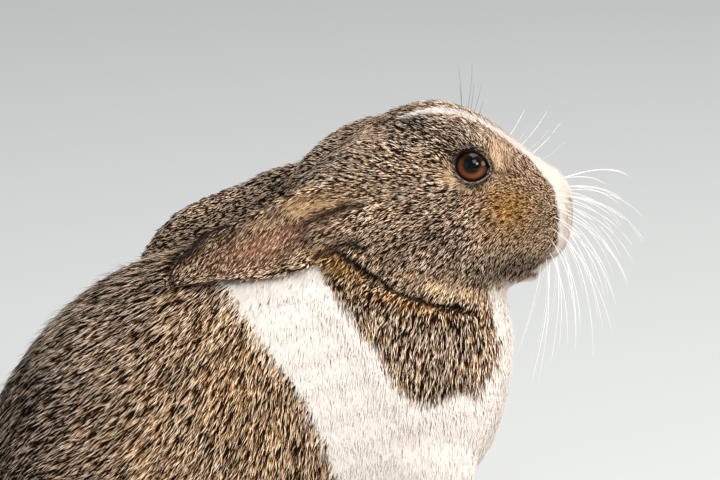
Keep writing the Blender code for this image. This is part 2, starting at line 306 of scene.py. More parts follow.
def body_skin():
    """The body's surface, smoothed and set in under the coat."""
    balls = [(centre, EYE_RADIUS + 0.6 * MM) for centre in EYE_CENTRES.values()]
    obj = fused("body_skin", BODY, BODY_VOXEL, balls=balls)
    mesh = obj.data
    points, edges = points_of(mesh), edges_of(mesh)
    labels = nearest_nodes(points)
    kinds = KINDS[labels]
    smoothness = np.select([kinds == "head", np.isin(kinds, ["forepaw", "hindfoot"])], [0.35, 0.3], 1.0)
    smoothness = spread(smoothness, edges, 6)
    on_floor = points[:, 2] < FLATS_HEIGHT
    points = relax(points, edges, smoothness * ~on_floor, 30)
    set_points(mesh, points)
    depth = coat_value(labels, DEPTH)
    depth = np.where(kinds == "head", depth * (1 - 0.55 * face_nearness(points) ** 1.5), depth)
    depth = spread(depth * white_front_depth(points, kinds), edges, 16) * MM
    depth = np.where(points[:, 2] < THIN_HEIGHT, THIN_DEPTH, depth)
    for _ in range(SINKING_STEPS):
        mesh.update()
        points = points_of(mesh) - normals_of(mesh) * (depth / SINKING_STEPS)[:, None]
        set_points(mesh, relax(points, edges, 0.4 * smoothness, 2))
    return obj


def ear_skin(node):
    """An ear's surface, set in a little, with its root reaching into the head."""
    obj = fused(node + "_skin", [node], EAR_VOXEL, grow=0.0)
    mesh = obj.data
    points, edges = points_of(mesh), edges_of(mesh)
    points = relax(points, edges, np.ones(len(points)), 10)
    set_points(mesh, points)
    points = points - normals_of(mesh) * (COAT["ear"][DEPTH] * MM)
    for i, point in enumerate(points):
        distance = HEAD_TREE.find_nearest(point)[3]
        if distance < EAR_ROOT_REACH:
            pull = EAR_ROOT_PULL * (1, np.sign(point[1]), 1)
            points[i] += pull * (1 - distance / EAR_ROOT_REACH)
    set_points(mesh, points)
    return obj


def decimate(obj, triangles):
    obj.data.calc_loop_triangles()
    step = obj.modifiers.new("reduce", "DECIMATE")
    step.ratio = min(1.0, triangles / len(obj.data.loop_triangles))
    apply_modifiers(obj)


def refine(obj, inside):
    """Halves the edges where inside(points) is true."""
    bm = bmesh.new()
    bm.from_mesh(obj.data)
    bm.verts.ensure_lookup_table()
    chosen = inside(points_of(obj.data))
    edges = [e for e in bm.edges if chosen[e.verts[0].index] and chosen[e.verts[1].index]]
    bmesh.ops.subdivide_edges(bm, edges=edges, cuts=1, use_grid_fill=True)
    bmesh.ops.triangulate(bm, faces=bm.faces)
    bm.to_mesh(obj.data)
    bm.free()


def blend_ear_roots(obj):
    """Smooths the crease where each ear grows from the head."""
    mesh = obj.data
    points, edges = points_of(mesh), edges_of(mesh)
    weight = np.zeros(len(points))
    beside_head = (np.abs(points[:, 1]) >= 10 * MM) & (points[:, 0] <= 75 * MM)
    for ear in EARS:
        tree, _ = tree_of_nodes([ear])
        for i in np.flatnonzero(beside_head):
            near_ear = tree.find_nearest(points[i], ROOT_BLEND_REACH)[3]
            near_head = HEAD_TREE.find_nearest(points[i], ROOT_BLEND_REACH)[3]
            if near_ear is not None and near_head is not None:
                weight[i] = max(weight[i], 1 - max(near_ear, near_head) / ROOT_BLEND_REACH)
    weight = np.clip(spread(weight, edges, 4) * 2, 0, 1)
    set_points(mesh, relax(points, edges, weight, 25))


def make_skin():
    skin = join("skin", [body_skin(), *(ear_skin(node) for node in EARS)])
    voxel_remesh(skin, SKIN_VOXEL)
    mesh = skin.data
    points, edges = points_of(mesh), edges_of(mesh)
    set_points(mesh, relax(points, edges, np.ones(len(points)), 3))
    blend_ear_roots(skin)
    decimate(skin, SKIN_TRIANGLES)
    for inside in (near_eyes, near_eyes, near_nose, near_nose_tip):
        refine(skin, inside)
    carve_face(skin.data)
    part_toes(skin.data)
    shape_lids(skin.data)
    points = points_of(skin.data)
    points[:, 2] = np.maximum(points[:, 2], LOWEST_SKIN)
    set_points(skin.data, points)
    return skin


# -------------------------------------------------------------- face and feet

FAR_AWAY = 99.0
# The lids' thickness at their edge, and how far the skin behind the eyeball's face lies inside it.
LID_THICKNESS = 1.0 * MM
BEHIND_EYE = 1.6 * MM
# Where a foot's toes are and where the creases between them are, from edge to edge (-1 to 1).
TOES = (-0.74, -0.26, 0.26, 0.74)
TOE_CREASES = (-0.5, 0.0, 0.5)


def eye_frame(side):
    """The eye's gaze, and the ways to its front corner and up, as rows of a matrix."""
    sign = SIDES[side]
    gaze = unit(np.array((-0.10, sign * 0.95, 0.30)))
    front = np.array((1.0, sign * 0.12, -0.33))
    front = unit(front - gaze * (front @ gaze))
    up = np.cross(front, gaze) * -sign
    return np.stack([gaze, front, up * (1 if up[2] > 0 else -1)])


def around_eye(points, side):
    """Distance from the eye's centre, angle from its gaze and angle round it from the front corner."""
    offset = points - np.array(EYE_CENTRES[side])
    distance = np.linalg.norm(offset, axis=1)
    local = unit(offset) @ eye_frame(side).T
    from_gaze = np.arccos(np.clip(local[:, 0], -1, 1))
    round_it = np.arctan2(local[:, 2], local[:, 1])
    return distance, from_gaze, round_it


def lid_opening(round_it):
    """The angle from the gaze at which the lids' edge lies: an almond, longer at its front corner."""
    level, above = np.cos(round_it), np.sin(round_it)
    wide = np.where(level > 0, 66, 70)
    tall = np.where(above > 0, 49, 62)
    angle = 1 / np.sqrt((level / wide) ** 2 + (above / tall) ** 2)
    front_corner, rear_corner = bell(round_it, 0, 0.33), bell(np.abs(round_it), math.pi, 0.3)
    return np.radians(angle + 12 * front_corner + 4 * rear_corner)


def outside_lids(points, side):
    """Millimetres outside the lids' edge, seen along the gaze, and the angle round the eye."""
    distance, from_gaze, round_it = around_eye(points, side)
    facing = from_gaze < 1.75
    outside = distance * np.sin(from_gaze) - EYE_RADIUS * np.sin(lid_opening(round_it))
    near = facing & (distance < EYE_RADIUS + 16 * MM)
    return np.where(near, outside / MM, FAR_AWAY), round_it


def near_eyes(points):
    """True round the eyes, where the lids need a finer skin."""
    found = np.zeros(len(points), bool)
    for side in SIDES:
        distance, from_gaze, _ = around_eye(points, side)
        found |= (distance < EYE_RADIUS + 4.5 * MM) & (from_gaze < 1.9)
    return found


def near_nose(points):
    return np.linalg.norm(points - NOSE_TIP, axis=1) < 25 * MM


def near_nose_tip(points):
    return np.linalg.norm(points - NOSE_TIP * (1, 1, 0.97), axis=1) < 17 * MM


def shape_lids(mesh):
    """Draws the skin up onto the eyeball as lids, and sinks it behind the eyeball between them."""
    points = points_of(mesh)
    for side in SIDES:
        distance, from_gaze, round_it = around_eye(points, side)
        past = from_gaze - lid_opening(round_it)
        lid = EYE_RADIUS + LID_THICKNESS * bell(np.maximum(past, 0), 0, 0.3)
        hidden = EYE_RADIUS - BEHIND_EYE
        target = np.where(past < 0, hidden, np.where(past < 0.9, np.maximum(distance, lid), distance))
        near = (distance < EYE_RADIUS + 3.5 * MM) & (from_gaze < 1.9)
        change = np.where(near, target / np.maximum(distance, 1e-9), 1.0)
        centre = np.array(EYE_CENTRES[side])
        points = centre + (points - centre) * change[:, None]
    set_points(mesh, points)


def surface_lines(mesh):
    """Each groove's path on both sides of the body, laid on the skin, with its width, depth and kind."""
    tree = tree_of_mesh(mesh)
    found = []
    for kind, width, depth, path in GROOVES:
        for sign in SIDES.values():
            line = [Vector((NOSE_X + x * MM, y * sign * MM, z * MM)) for x, y, z in path]
            dense = [a.lerp(b, k / 6) for a, b in zip(line, line[1:]) for k in range(6)] + [line[-1]]
            laid = np.array([tree.find_nearest(p)[0] for p in dense])
            found.append((kind, width, depth, laid))
    return found


def segment_distance(points, a, b):
    """Distance of each point to the straight line from a to b."""
    along = b - a
    share = np.clip(((points - a) @ along) / max(along @ along, 1e-12), 0, 1)
    return np.linalg.norm(points - a - share[:, None] * along, axis=1)


def line_distance(points, line):
    """Distance in millimetres of each point to a line in space, or FAR_AWAY where it isn't close."""
    best = np.full(len(points), FAR_AWAY)
    margin = 12 * MM
    near = ((points > line.min(0) - margin) & (points < line.max(0) + margin)).all(1)
    for a, b in zip(line, line[1:]):
        best[near] = np.minimum(best[near], segment_distance(points[near], a, b) / MM)
    return best


def carve_face(mesh):
    """Presses GROOVES into the skin: throat, nostrils, mouth, eye corners, and folds at ears and cheeks."""
    FACE_LINES.extend(surface_lines(mesh))
    for _, width, depth, line in FACE_LINES:
        mesh.update()
        points, normals = points_of(mesh), normals_of(mesh)
        depths = depth * MM * bell(line_distance(points, line), 0, width)
        set_points(mesh, points - normals * depths[:, None])


def lip_strength(points):
    """How far each point lies in the bare skin of the nostrils, the mouth and the eyes' front corners."""
    total = np.zeros(len(points))
    for kind, width, _, line in FACE_LINES:
        if kind == "lip":
            total = np.maximum(total, step_up(0.9 * width - line_distance(points, line), 0.25))
    return total


def part_toes(mesh):
    """Creases between the four toes of each foot."""
    points, normals = points_of(mesh), normals_of(mesh)
    for node, length in FEET:
        low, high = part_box(node)
        reach = (points[:, 0] - (high.x - length * MM)) / (length * MM)
        across = (points[:, 1] - (low.y + high.y) / 2) / ((high.y - low.y) / 2)
        on_foot = (reach > 0) & (reach < 1.1) & (np.abs(across) < 1.1) & (points[:, 2] < high.z)
        crease = sum(bell(across, between, 0.12) for between in TOE_CREASES)
        fall = np.clip(reach * 2, 0, 1.2) * np.clip(normals[:, 2] + 1.0, 0, 1)
        points = points - normals * (TOE_CREASE * crease * fall * on_foot)[:, None]
    set_points(mesh, points)


# ----------------------------------------------------------------- fur fields


def columns(*values):
    """Numbers and arrays as the columns of one array."""
    return np.stack(np.broadcast_arrays(*values), axis=1)


def along_surface(ways, normals):
    """These ways laid flat on the surface, at unit length."""
    return unit(ways - normals * (ways * normals).sum(1, keepdims=True))


def flow_field(points, normals, labels, edges):
    """The way the fur lies: a tangent for each point."""
    kinds = KINDS[labels]
    x, y, z = points.T / MM
    back = NOSE_X / MM - x
    side = np.sign(y)
    low_cheek = np.clip((222 - z) / 40, 0, 1) * np.clip((back - 14) / 26, 0, 1)
    flow = unit(points - NOSE_TIP) - low_cheek[:, None] * np.array((0.0, 0.0, 0.9))
    lean = np.interp(back, [95, 130, 170, 230, 270, 300], [0.1, 0.22, 0.55, 0.9, 0.55, 0.2])
    body = columns(-lean, 0.12 * side, -np.sqrt(1 - lean**2))
    under = np.clip(-normals[:, 2] * 1.6 - 0.3, 0, 1)[:, None]
    body = body * (1 - under) + np.array((-1.0, 0.0, 0.0)) * under
    ahead = (1.0, 0.0, -0.15)
    ways = {
        "neck": columns(-0.25, 0.05 * side, -1.0),
        "trunk": body,
        "thigh": body + np.array((-0.15, 0.0, 0.0)),
        "tail": (-0.5, 0.0, 1.0),
        "foreleg": (-0.06, 0.0, -1.0),
        "forepaw": ahead,
        "hindfoot": ahead,
        "ear": (-0.93, 0.0, -0.33),
    }
    for kind, way in ways.items():
        flow = np.where((kinds == kind)[:, None], way, flow)
    along, _ = ear_place(points, kinds)
    swept = columns(np.interp(along, (0, 0.3, 1), (-0.9, -0.55, -0.6)), 0.0, -0.75)
    flow = np.where(in_ear_hollow(points, normals, kinds)[:, None], swept, flow)
    for name in SIDES:
        distance, _, _ = around_eye(points, name)
        away = unit(points - np.array(EYE_CENTRES[name]))
        near = bell(distance, EYE_RADIUS, 5 * MM) * (distance < 30 * MM)
        flow = unit(flow) + 1.3 * near[:, None] * away
    for _ in range(16):
        flow = spread(along_surface(flow, normals), edges, 1)
    return along_surface(flow, normals)


def distance_to_line(p, line, closed=False):
    """Distance of each 2-D point to a broken line."""
    line = np.asarray(line, float)
    starts = line if closed else line[:-1]
    ends = np.roll(line, -1, axis=0) if closed else line[1:]
    return np.min([segment_distance(p, a, b) for a, b in zip(starts, ends)], axis=0)


def inside_outline(p, outline):
    """True for each 2-D point inside a closed outline."""
    outline = np.asarray(outline, float)
    inside = np.zeros(len(p), bool)
    for (ax, ay), (bx, by) in zip(outline, np.roll(outline, -1, axis=0)):
        crosses = (ay > p[:, 1]) != (by > p[:, 1])
        at = ax + (p[:, 1] - ay) * (bx - ax) / (by - ay + 1e-12)
        inside ^= crosses & (p[:, 0] < at)
    return inside


def signed(p, outline):
    """Distance into a closed outline, negative outside it."""
    return distance_to_line(p, outline, closed=True) * np.where(inside_outline(p, outline), 1, -1)


# Grooves on the right side and, mirrored, on the left: kind, width and depth, then the
# path in millimetres ahead of the nose tip, to the side and above the floor.
GROOVES = [
    ("dent", 4.0, 2.2, [(-9, 6, 174), (-13, 3, 170), (-13, 0, 170)]),
    ("lip", 0.8, 1.1, [(0, 1.5, 202.5), (0, 3.4, 204.2), (-1.0, 5.0, 206.2)]),
    ("lip", 0.55, 1.2, [(0, 0, 202.5), (0, 0, 196), (-2, 0, 189)]),
    ("lip", 0.8, 2.2, [(-3, 0, 189), (-5, 4, 186), (-8, 8, 182), (-13, 11, 179), (-19, 13, 176.5)]),
    ("lip", 1.15, 0.8, [(-38.6, 22.5, 222.2), (-36.8, 22, 221.2), (-35.2, 22, 220.6)]),
    ("fold", 1.7, 3.3, [(-98, 30, 209.5), (-108, 33, 206), (-117, 35, 203)]),
    ("fold", 1.8, 2.5, [(-117, 36, 186.6), (-108, 38, 191.9), (-101, 38, 193.8), (-94, 37, 190.5)]),
    ("fold", 2.4, 2.8, [(-105, 36, 189), (-94, 38, 181), (-82, 36, 173), (-66, 31, 166), (-50, 24, 160)]),
]
# The grooves as they are laid on the skin, which carve_face fills in.
FACE_LINES = []
# Long hairs over each eye: behind the nose, height, angle above level, length.
BROW_HAIRS = [(21, 231, 32, 22), (17, 226, 26, 23), (24, 235, 42, 16)]
CROWN_HAIRS = [(49, 247, 88, 19), (46, 247, 74, 21), (43, 247, 62, 14)]
# Whiskers on each side, and the radii of whiskers and of the hairs over the eye and on the crown.
WHISKERS = 24
WHISKER_RADIUS, BROW_RADIUS, CROWN_RADIUS = 0.12, 0.08, 0.06
# Where the white of a hind foot begins, in millimetres ahead of its heel.
SOCK_START = 35
# How deep the creases between toes are, and each foot with the length of its toes.
TOE_CREASE = 2.8 * MM
FEET = [("forepaw_right", 17), ("forepaw_left", 17), ("hindfoot_right", 22), ("hindfoot_left", 22)]

# Markings as seen from the side: millimetres behind the nose tip, and millimetres
# above the floor where the line of sight meets the middle of the body.
MUZZLE_WHITE = [
    (24, 231), (15, 217), (9, 208), (7, 196), (7.5, 184), (11, 176.5), (19, 170), (-12, 160), (-12, 245),
]
COLLAR_REAR = [
    (166, 178), (157.5, 164), (138, 135), (120.5, 109), (110, 82), (105, 58), (112, 30), (112, -10),
]
NECK_PATCH = [
    (38, 160), (36, 146), (33, 134), (37, 123), (44.6, 112.7), (51, 115), (65, 110), (72, 109.5),
    (79, 116), (88, 133), (101, 150), (112, 165), (116, 178),
]
# The lower edge of the ear, which the white front doesn't go past: behind the nose, then height.
UNDER_EAR = (106, 116, 124, 142, 155), (177, 173, 171.5, 168.5, 167)
FRONT_WHITE = [*COLLAR_REAR, (-20, -10), (-20, 163), (29.7, 165.4), *NECK_PATCH]
# The blaze along the top of the head: its middle and half width by distance behind the nose, and its ends.
BLAZE_PLACES = (8, 21, 31, 39, 47, 65, 79)
BLAZE_MIDDLE = (0, 0, -1.3, -2.9, -4.5, -7.7, -9.2)
BLAZE_HALF_WIDTH = (8, 5.2, 4.0, 3.2, 3.0, 2.5, 0.4)
BLAZE_START, BLAZE_END = 8, 80
# The white chin: its half width, how far back it goes, and its top.
CHIN_HALF_WIDTH, CHIN_LENGTH, CHIN_TOP = 8, 34, 190

# Painted shade in folds and creases, such as between the cheek and the neck and along the ears: half width
# and strength, then the line.
SHADED_FOLDS = [
    (1.25, 1.0, [(111, 181), (101, 175.6), (89, 167.8), (79, 160), (64, 155.2), (51, 153.6)]),
    (1.3, 0.8, [(95, 201.5), (103, 200.3)]),
    (1.9, 1.0, [(103, 200.3), (110, 197.6), (116.5, 195.2)]),
    (1.3, 0.8, [(116.5, 195.2), (122.4, 192), (130, 190.5)]),
    (2.2, 0.5, [(121, 191), (124, 184), (130, 177)]),
    (1.7, 0.9, [(117, 177), (108, 181.7), (101.3, 183.6), (94.5, 180.8)]),
    (2.9, 0.95, [(150, 200.5), (162, 192), (168.8, 185), (173.3, 179.4), (181, 175)]),
    (1.4, 0.85, [(181, 175), (181.5, 169), (178, 163.5), (164, 164.3), (151, 166.6)]),
    (0.9, 0.6, [(36, 216), (30, 216), (25, 215)]),
    (1.3, 0.55, [(72, 243.5), (80, 241.5), (90, 239)]),
]
# Soft patches for each mark: behind the nose, height, length, height of the patch, tilt, strength.
PATCHES = {
    # Darker fur and painted shade together, such as the shade at the corners of the mouth and under and
    # between the ears.
    "dark": [
        (72, 239.5, 13, 5, 0, 1.0),
        (56, 184, 14, 9, 0, 0.15),
        (26, 172, 13, 6, 0, 0.8),
        (130, 213, 26, 7, 28, 0.5),
        (100, 175, 12, 3.5, -32, 0.8),
        (174, 190, 26, 5, 33, 0.7),
        (215, 165, 60, 24, 35, 0.6),
        (262, 95, 45, 70, 0, 0.95),
        (185, 188, 12, 8, 33, 0.9),
        (62, 231, 21, 10, 0, 0.6),
    ],
    "grey": [
        (54, 184, 16, 15, 0, 1.0),
        (63, 204, 11, 13, 0, 0.8),
        (62, 236, 24, 9, 0, 0.8),
        (135, 208, 34, 10, 28, 0.8),
        (60, 128, 22, 16, 0, 0.7),
        (250, 120, 55, 60, 0, 0.7),
    ],
    "ginger": [
        (106, 173, 14, 5, -32, 0.9),
        (78, 156.5, 22, 2.5, -18, 0.8),
        (30, 200, 12.5, 14, 0, 1.0),
        (150, 110, 24, 50, 30, 0.35),
        (195, 90, 40, 40, 0, 0.25),
        (117, 201, 14, 5.5, 12, 1.0),
    ],
    "cream": [
        (56, 162, 22, 4.0, -14, 0.75),
        (34.5, 225, 4.6, 9, 0, 0.95),
        (57, 213, 6.5, 3.6, -25, 1.0),
        (121, 200, 20, 6.5, 12, 0.75),
        (140, 193, 18, 3.5, 24, 0.8),
        (114, 190, 10, 4, 10, 0.5),
        (118, 180, 10, 3, 20, 0.4),
    ],
    "pink": [
        (140, 183, 20, 7.5, 21, 1.0),
    ],
}


def wobble(points, scale, seed):
    """A smooth random value, mostly from -1 to 1, that varies over space."""
    phase = np.random.default_rng(seed).uniform(0, 6.28, (6, 3))
    total = np.zeros(len(points))
    for k in range(len(phase)):
        turn = np.random.default_rng(seed + k + 1).normal(size=3)
        turn = turn / np.linalg.norm(turn) * (1 + 0.35 * k) / scale
        total += np.sin(points @ turn * 6.28 + phase[k, 0])
    return total / 3.2


def step_up(value, softness):
    """0 to 1 as the value goes from softness below zero to softness above it."""
    return np.clip(0.5 + value / (2 * softness), 0, 1)


def bell(value, middle, reach):
    """1 at the middle, falling softly on both sides, to about a third at this reach."""
    return np.exp(-(((value - middle) / reach) ** 2))


def seen_from_side(points):
    """Behind the nose and height, in millimetres, along the line of sight; one row for each point."""
    x, y, z = points.T / MM
    return np.stack([NOSE_X / MM - x, z - np.abs(y) * math.tan(VIEW_ELEVATION)], axis=1)


def soft_patches(seen, mark):
    """The strength of a mark's patches."""
    total = np.zeros(len(seen))
    for back, height, long, tall, tilt, strength in PATCHES[mark]:
        turn = math.radians(tilt)
        across, up = seen[:, 0] - back, seen[:, 1] - height
        u = across * math.cos(turn) - up * math.sin(turn)
        v = across * math.sin(turn) + up * math.cos(turn)
        total = np.maximum(total, strength * np.exp(-((u / long) ** 2 + (v / tall) ** 2)))
    return total


def folds(seen):
    """How deep in one of the shaded folds each point lies, for the shade painted into them."""
    total = np.zeros(len(seen))
    for half_width, strength, line in SHADED_FOLDS:
        total = np.maximum(total, strength * bell(distance_to_line(seen, line), 0, half_width))
    return total


EAR_SLICES = 12


def ear_place(points, kinds):
    """How far from root to tip, and from the lower to the upper margin (-1 to 1), each ear point is."""
    along, across = np.zeros(len(points)), np.zeros(len(points))
    for side, sign in SIDES.items():
        low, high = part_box(f"ear_{side}")
        mine = (kinds == "ear") & (np.sign(points[:, 1]) == sign)
        along[mine] = (high.x - points[mine, 0]) / (high.x - low.x)
        rim = np.array([v.co[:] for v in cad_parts[f"ear_{side}"].data.vertices])
        place = (high.x - rim[:, 0]) / (high.x - low.x)
        bins = np.clip((place * EAR_SLICES).astype(int), 0, EAR_SLICES - 1)
        top = np.array([rim[bins == k, 2].max() for k in range(EAR_SLICES)])
        bottom = np.array([rim[bins == k, 2].min() for k in range(EAR_SLICES)])
        middles = (np.arange(EAR_SLICES) + 0.5) / EAR_SLICES
        upper, lower = np.interp(along[mine], middles, top), np.interp(along[mine], middles, bottom)
        across[mine] = (2 * points[mine, 2] - upper - lower) / np.maximum(upper - lower, MM)
    return along, across


def in_ear_hollow(points, normals, kinds):
    """True on the hollow side of an ear, which faces away from the head."""
    return (kinds == "ear") & (np.sign(points[:, 1]) * normals[:, 1] > 0.15)


def eye_rings(points):
    """Strengths of the pale ring round each eye, of the painted shade above and behind it together with the
    black fur along the lids' edge, of its bare lid edge and of that edge's pale rim.
    """
    pale, dark, bare, rim = (np.zeros(len(points)) for _ in range(4))
    for side in SIDES:
        out, round_it = outside_lids(points, side)
        turn = np.degrees(round_it)
        below, before = bell(turn, -130, 50), 0.9 * bell(turn, 12, 40)
        pale = np.maximum(pale, bell(out, 3.6, 2.3) * np.maximum(below, before))
        # Painted shade under the brow, above and behind the eye, then black fur all round the lids' edge.
        dark = np.maximum(dark, bell(out, 1.6, 1.8) * bell(turn, 105, 45))
        dark = np.maximum(dark, (0.8 + 0.2 * np.sin(round_it)) * bell(out, 1.5, 0.7))
        bare = np.maximum(bare, step_up(0.95 - out, 0.2))
        lower, upper = step_up(0.2 - np.sin(round_it), 0.25), 0.7 * bell(turn, 38, 34)
        rim = np.maximum(rim, bell(out, 0.55, 0.22) * np.maximum(lower, upper))
    return pale, dark, bare, rim


MARKS = ("white", "ginger", "cream", "dark", "grey", "pink", "bare", "rim", "fold", "lip")


def markings(points, labels, normals):
    """How strongly each of MARKS shows at each point."""
    kinds = KINDS[labels]
    seen = seen_from_side(points)
    back, y = seen[:, 0], points[:, 1] / MM
    ragged = wobble(points, 9 * MM, 5) * 1.2 + rng.normal(0, 0.7, len(points))
    is_head, is_ear = kinds == "head", kinds == "ear"
    from_middle = np.abs(y - np.interp(back, BLAZE_PLACES, BLAZE_MIDDLE))
    blaze = np.interp(back, BLAZE_PLACES, BLAZE_HALF_WIDTH) - from_middle + 0.3 * ragged
    on_top = (back > BLAZE_START) & (back < BLAZE_END) & (normals[:, 2] > 0.2)
    blaze = np.where(on_top, blaze, -9)
    muzzle = signed(seen, MUZZLE_WHITE) + 0.35 * ragged
    white = step_up(np.maximum(blaze, muzzle), 0.5) * is_head
    front = signed(seen, FRONT_WHITE) + ragged
    low_enough = seen[:, 1] < np.interp(back, *UNDER_EAR)
    near_middle = np.abs(y) < CHIN_HALF_WIDTH + 0.5 * ragged
    chin = is_head & near_middle & (back < CHIN_LENGTH) & (seen[:, 1] < CHIN_TOP)
    white = np.maximum(white, chin)
    fore = np.isin(kinds, ["neck", "trunk", "head"]) & low_enough
    white = np.where(fore, np.maximum(white, step_up(front, 0.7)), white)
    white = np.where(np.isin(kinds, ["foreleg", "forepaw"]), 1.0, white)
    from_heel = (points[:, 0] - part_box("hindfoot_right")[0].x) / MM
    sock = step_up(from_heel - SOCK_START + 3 * ragged, 2)
    white = np.where(kinds == "hindfoot", np.maximum(sock, step_up(-normals[:, 2] - 0.6, 0.2)), white)
    belly = step_up(-normals[:, 2] - 0.62 + 0.06 * ragged, 0.08)
    white = np.where(np.isin(kinds, ["trunk", "thigh"]), np.maximum(white, belly), white)
    tail_under = step_up(-0.2 * normals[:, 0] - normals[:, 2] + 0.1 * ragged, 0.3)
    white = np.where(kinds == "tail", tail_under, white)
    pale, brow_shade_and_lid_line, bare, rim = (ring * is_head for ring in eye_rings(points))
    along, across = ear_place(points, kinds)
    outward = is_ear & (np.sign(y) * normals[:, 1] > -0.4)
    left_ear = is_ear & (y > 0)
    # The ear's tip is darker fur; the outer half of its upper margin gets painted shade.
    tip_dark_and_margin_shade = np.clip(np.maximum((along - 0.78) * 4, (across - 0.55) * 3 * (along > 0.45)), 0, 0.9)
    beside_nape = np.where(is_head & (back > 92), step_up(np.abs(y) - 24, 5), 1.0)
    found = {
        "white": white,
        "ginger": soft_patches(seen, "ginger") * ~left_ear * beside_nape,
        "cream": np.maximum(soft_patches(seen, "cream") * (outward | is_head) * beside_nape, pale),
        # Darker fur and painted shade, with the shade above and behind each eye.
        "dark": np.maximum(soft_patches(seen, "dark"), brow_shade_and_lid_line),
        "grey": soft_patches(seen, "grey"),
        "pink": soft_patches(seen, "pink") * (outward | (is_head & (back > 95))) * beside_nape,
        "bare": bare,
        "rim": rim,
        # Painted shade in the folds, left off white fur and the far ear.
        "fold": folds(seen) * (white < 0.5) * ~left_ear,
        "lip": lip_strength(points),
    }
    # On the ear's hollow side, the darker tip and the painted shade of the margin; on its other side, an even
    # darkening.
    ear_dark_and_shade = np.where(in_ear_hollow(points, normals, kinds), tip_dark_and_margin_shade, 0.4)
    found["dark"] = np.where(is_ear, ear_dark_and_shade, found["dark"])
    return found


def store(mesh, name, values):
    """Keeps one number for each vertex, for the materials to read."""
    attribute = mesh.attributes.new(name, "FLOAT", "POINT")
    attribute.data.foreach_set("value", np.ascontiguousarray(values, np.float32))


# ----------------------------------------------------------------- coat tufts


def unwrap(obj):
    """A UV map of the skin's own shape."""
    bpy.context.view_layer.objects.active = obj
    for other in bpy.context.selected_objects:
        other.select_set(False)
    obj.select_set(True)
    bpy.ops.object.mode_set(mode="EDIT")
    bpy.ops.mesh.select_all(action="SELECT")
    bpy.ops.uv.smart_project(angle_limit=math.radians(66), island_margin=0.002)
    bpy.ops.object.mode_set(mode="OBJECT")


def triangles_of(mesh):
    """Corner vertices and corner UVs of each triangle."""
    mesh.calc_loop_triangles()
    corners = rows_of(mesh.loop_triangles, "vertices", 3, np.int64)
    loops = rows_of(mesh.loop_triangles, "loops", 3, np.int64)
    return corners, rows_of(mesh.uv_layers[0].uv, "vector", 2)[loops]


def scatter(points, corners, density):
    """Triangle index and corner weights of roots spread evenly at that density."""
    a, b, c = (points[corners[:, k]] for k in range(3))
    area = np.linalg.norm(np.cross(b - a, c - a), axis=1) / 2 / MM**2
    wanted = area * density[corners].mean(1)
    total = np.concatenate([[0], np.cumsum(wanted)])
    places = np.arange(int(total[-1])) + rng.uniform(0, 1, int(total[-1]))
    index = np.clip(np.searchsorted(total, places, side="right") - 1, 0, len(corners) - 1)
    r, s = rng.uniform(0, 1, (2, len(index)))
    root = np.sqrt(r)
    weights = np.stack([1 - root, root * (1 - s), root * s], axis=1)
    return index, weights


def blend(values, corners, weights):
    """A value at each place inside a triangle, from the values at its corners."""
    picked = values[corners]
    if values.ndim == 1:
        return (picked * weights).sum(1)
    return (picked * weights[:, :, None]).sum(1)


def tuft_points(tufts, bent):
    """Points of the tufts, and shading normals above and below, as arrays of tuft, point and coordinate."""
    root, normal, flow = tufts["root"], tufts["normal"], tufts["flow"]
    length, rise, width = (tufts[k][:, None] for k in ("length", "rise", "width"))
    side = np.cross(normal, flow)
    # Tufts near the floor aren't shaded as if they faced it.
    lit = normal.copy()
    lit[:, 2] = np.where(root[:, 2] < 10 * MM, np.maximum(lit[:, 2], 0.0), lit[:, 2])
    lit = unit(lit)
    is_white = tufts["white"] > 0.5
    soft, tilt, ridge = (np.where(is_white, *pair)[:, None] for pair in TUFT_FORM)
    points, above, below = [], [], []
    if bent:
        points.append(root - normal * 0.3 * MM)
        above.append(lit)
        below.append(-lit)
    t = BEND if bent else 0.0
    sway = tufts["sway"][:, None]
    lift = rise * (1 - (1 - t) ** 2) - (0.0 if bent else 0.25 * MM)
    middle = root + flow * length * t + normal * lift + side * sway * length * t * t
    for reach, up in ((-0.5, 0.0), (0.5, 0.0), (0.0, ridge)):
        points.append(middle + side * width * reach + normal * width * up)
        above.append(unit(lit + side * reach * soft + flow * tilt))
        below.append(unit(side * reach * soft + flow * tilt - lit))
    points.append(root + flow * length + normal * rise + side * sway * length)
    above.append(unit(lit + flow * tilt * 2))
    below.append(unit(flow * tilt * 2 - lit))
    points = np.stack(points, axis=1)
    # What would reach the floor is squeezed into the gap above it.
    height = points[:, :, 2]
    squeezed = FLOOR_GAP * np.exp(np.minimum(height / MM - FLOOR_GAP / MM, 0) / 0.8)
    points[:, :, 2] = np.where(height < FLOOR_GAP, squeezed, height)
    return points, np.stack(above, axis=1), np.stack(below, axis=1)


# A bent tuft is two pyramids base to base, and a straight one a single pyramid. Each has
# its faces, which of them lie underneath, and how far along and across each point is.
BENT = {
    "faces": np.array([(0, 2, 1), (0, 3, 2), (0, 1, 3), (1, 2, 4), (2, 3, 4), (3, 1, 4)]),
    "under": np.array([True, False, False, True, False, False]),
    "along": np.array([0.0, BEND, BEND, BEND, 1.0]),
    "across": np.array([0.0, -0.5, 0.5, 0.0, 0.0]),
}
STRAIGHT = {
    "faces": np.array([(2, 1, 0), (0, 1, 3), (1, 2, 3), (2, 0, 3)]),
    "under": np.array([True, True, False, False]),
    "along": np.array([0.12, 0.12, 0.12, 1.0]),
    "across": np.array([-0.5, 0.5, 0.0, 0.0]),
}
# The size of a tuft in the coat pieces' UV map.
TUFT_IN_UV = 0.003


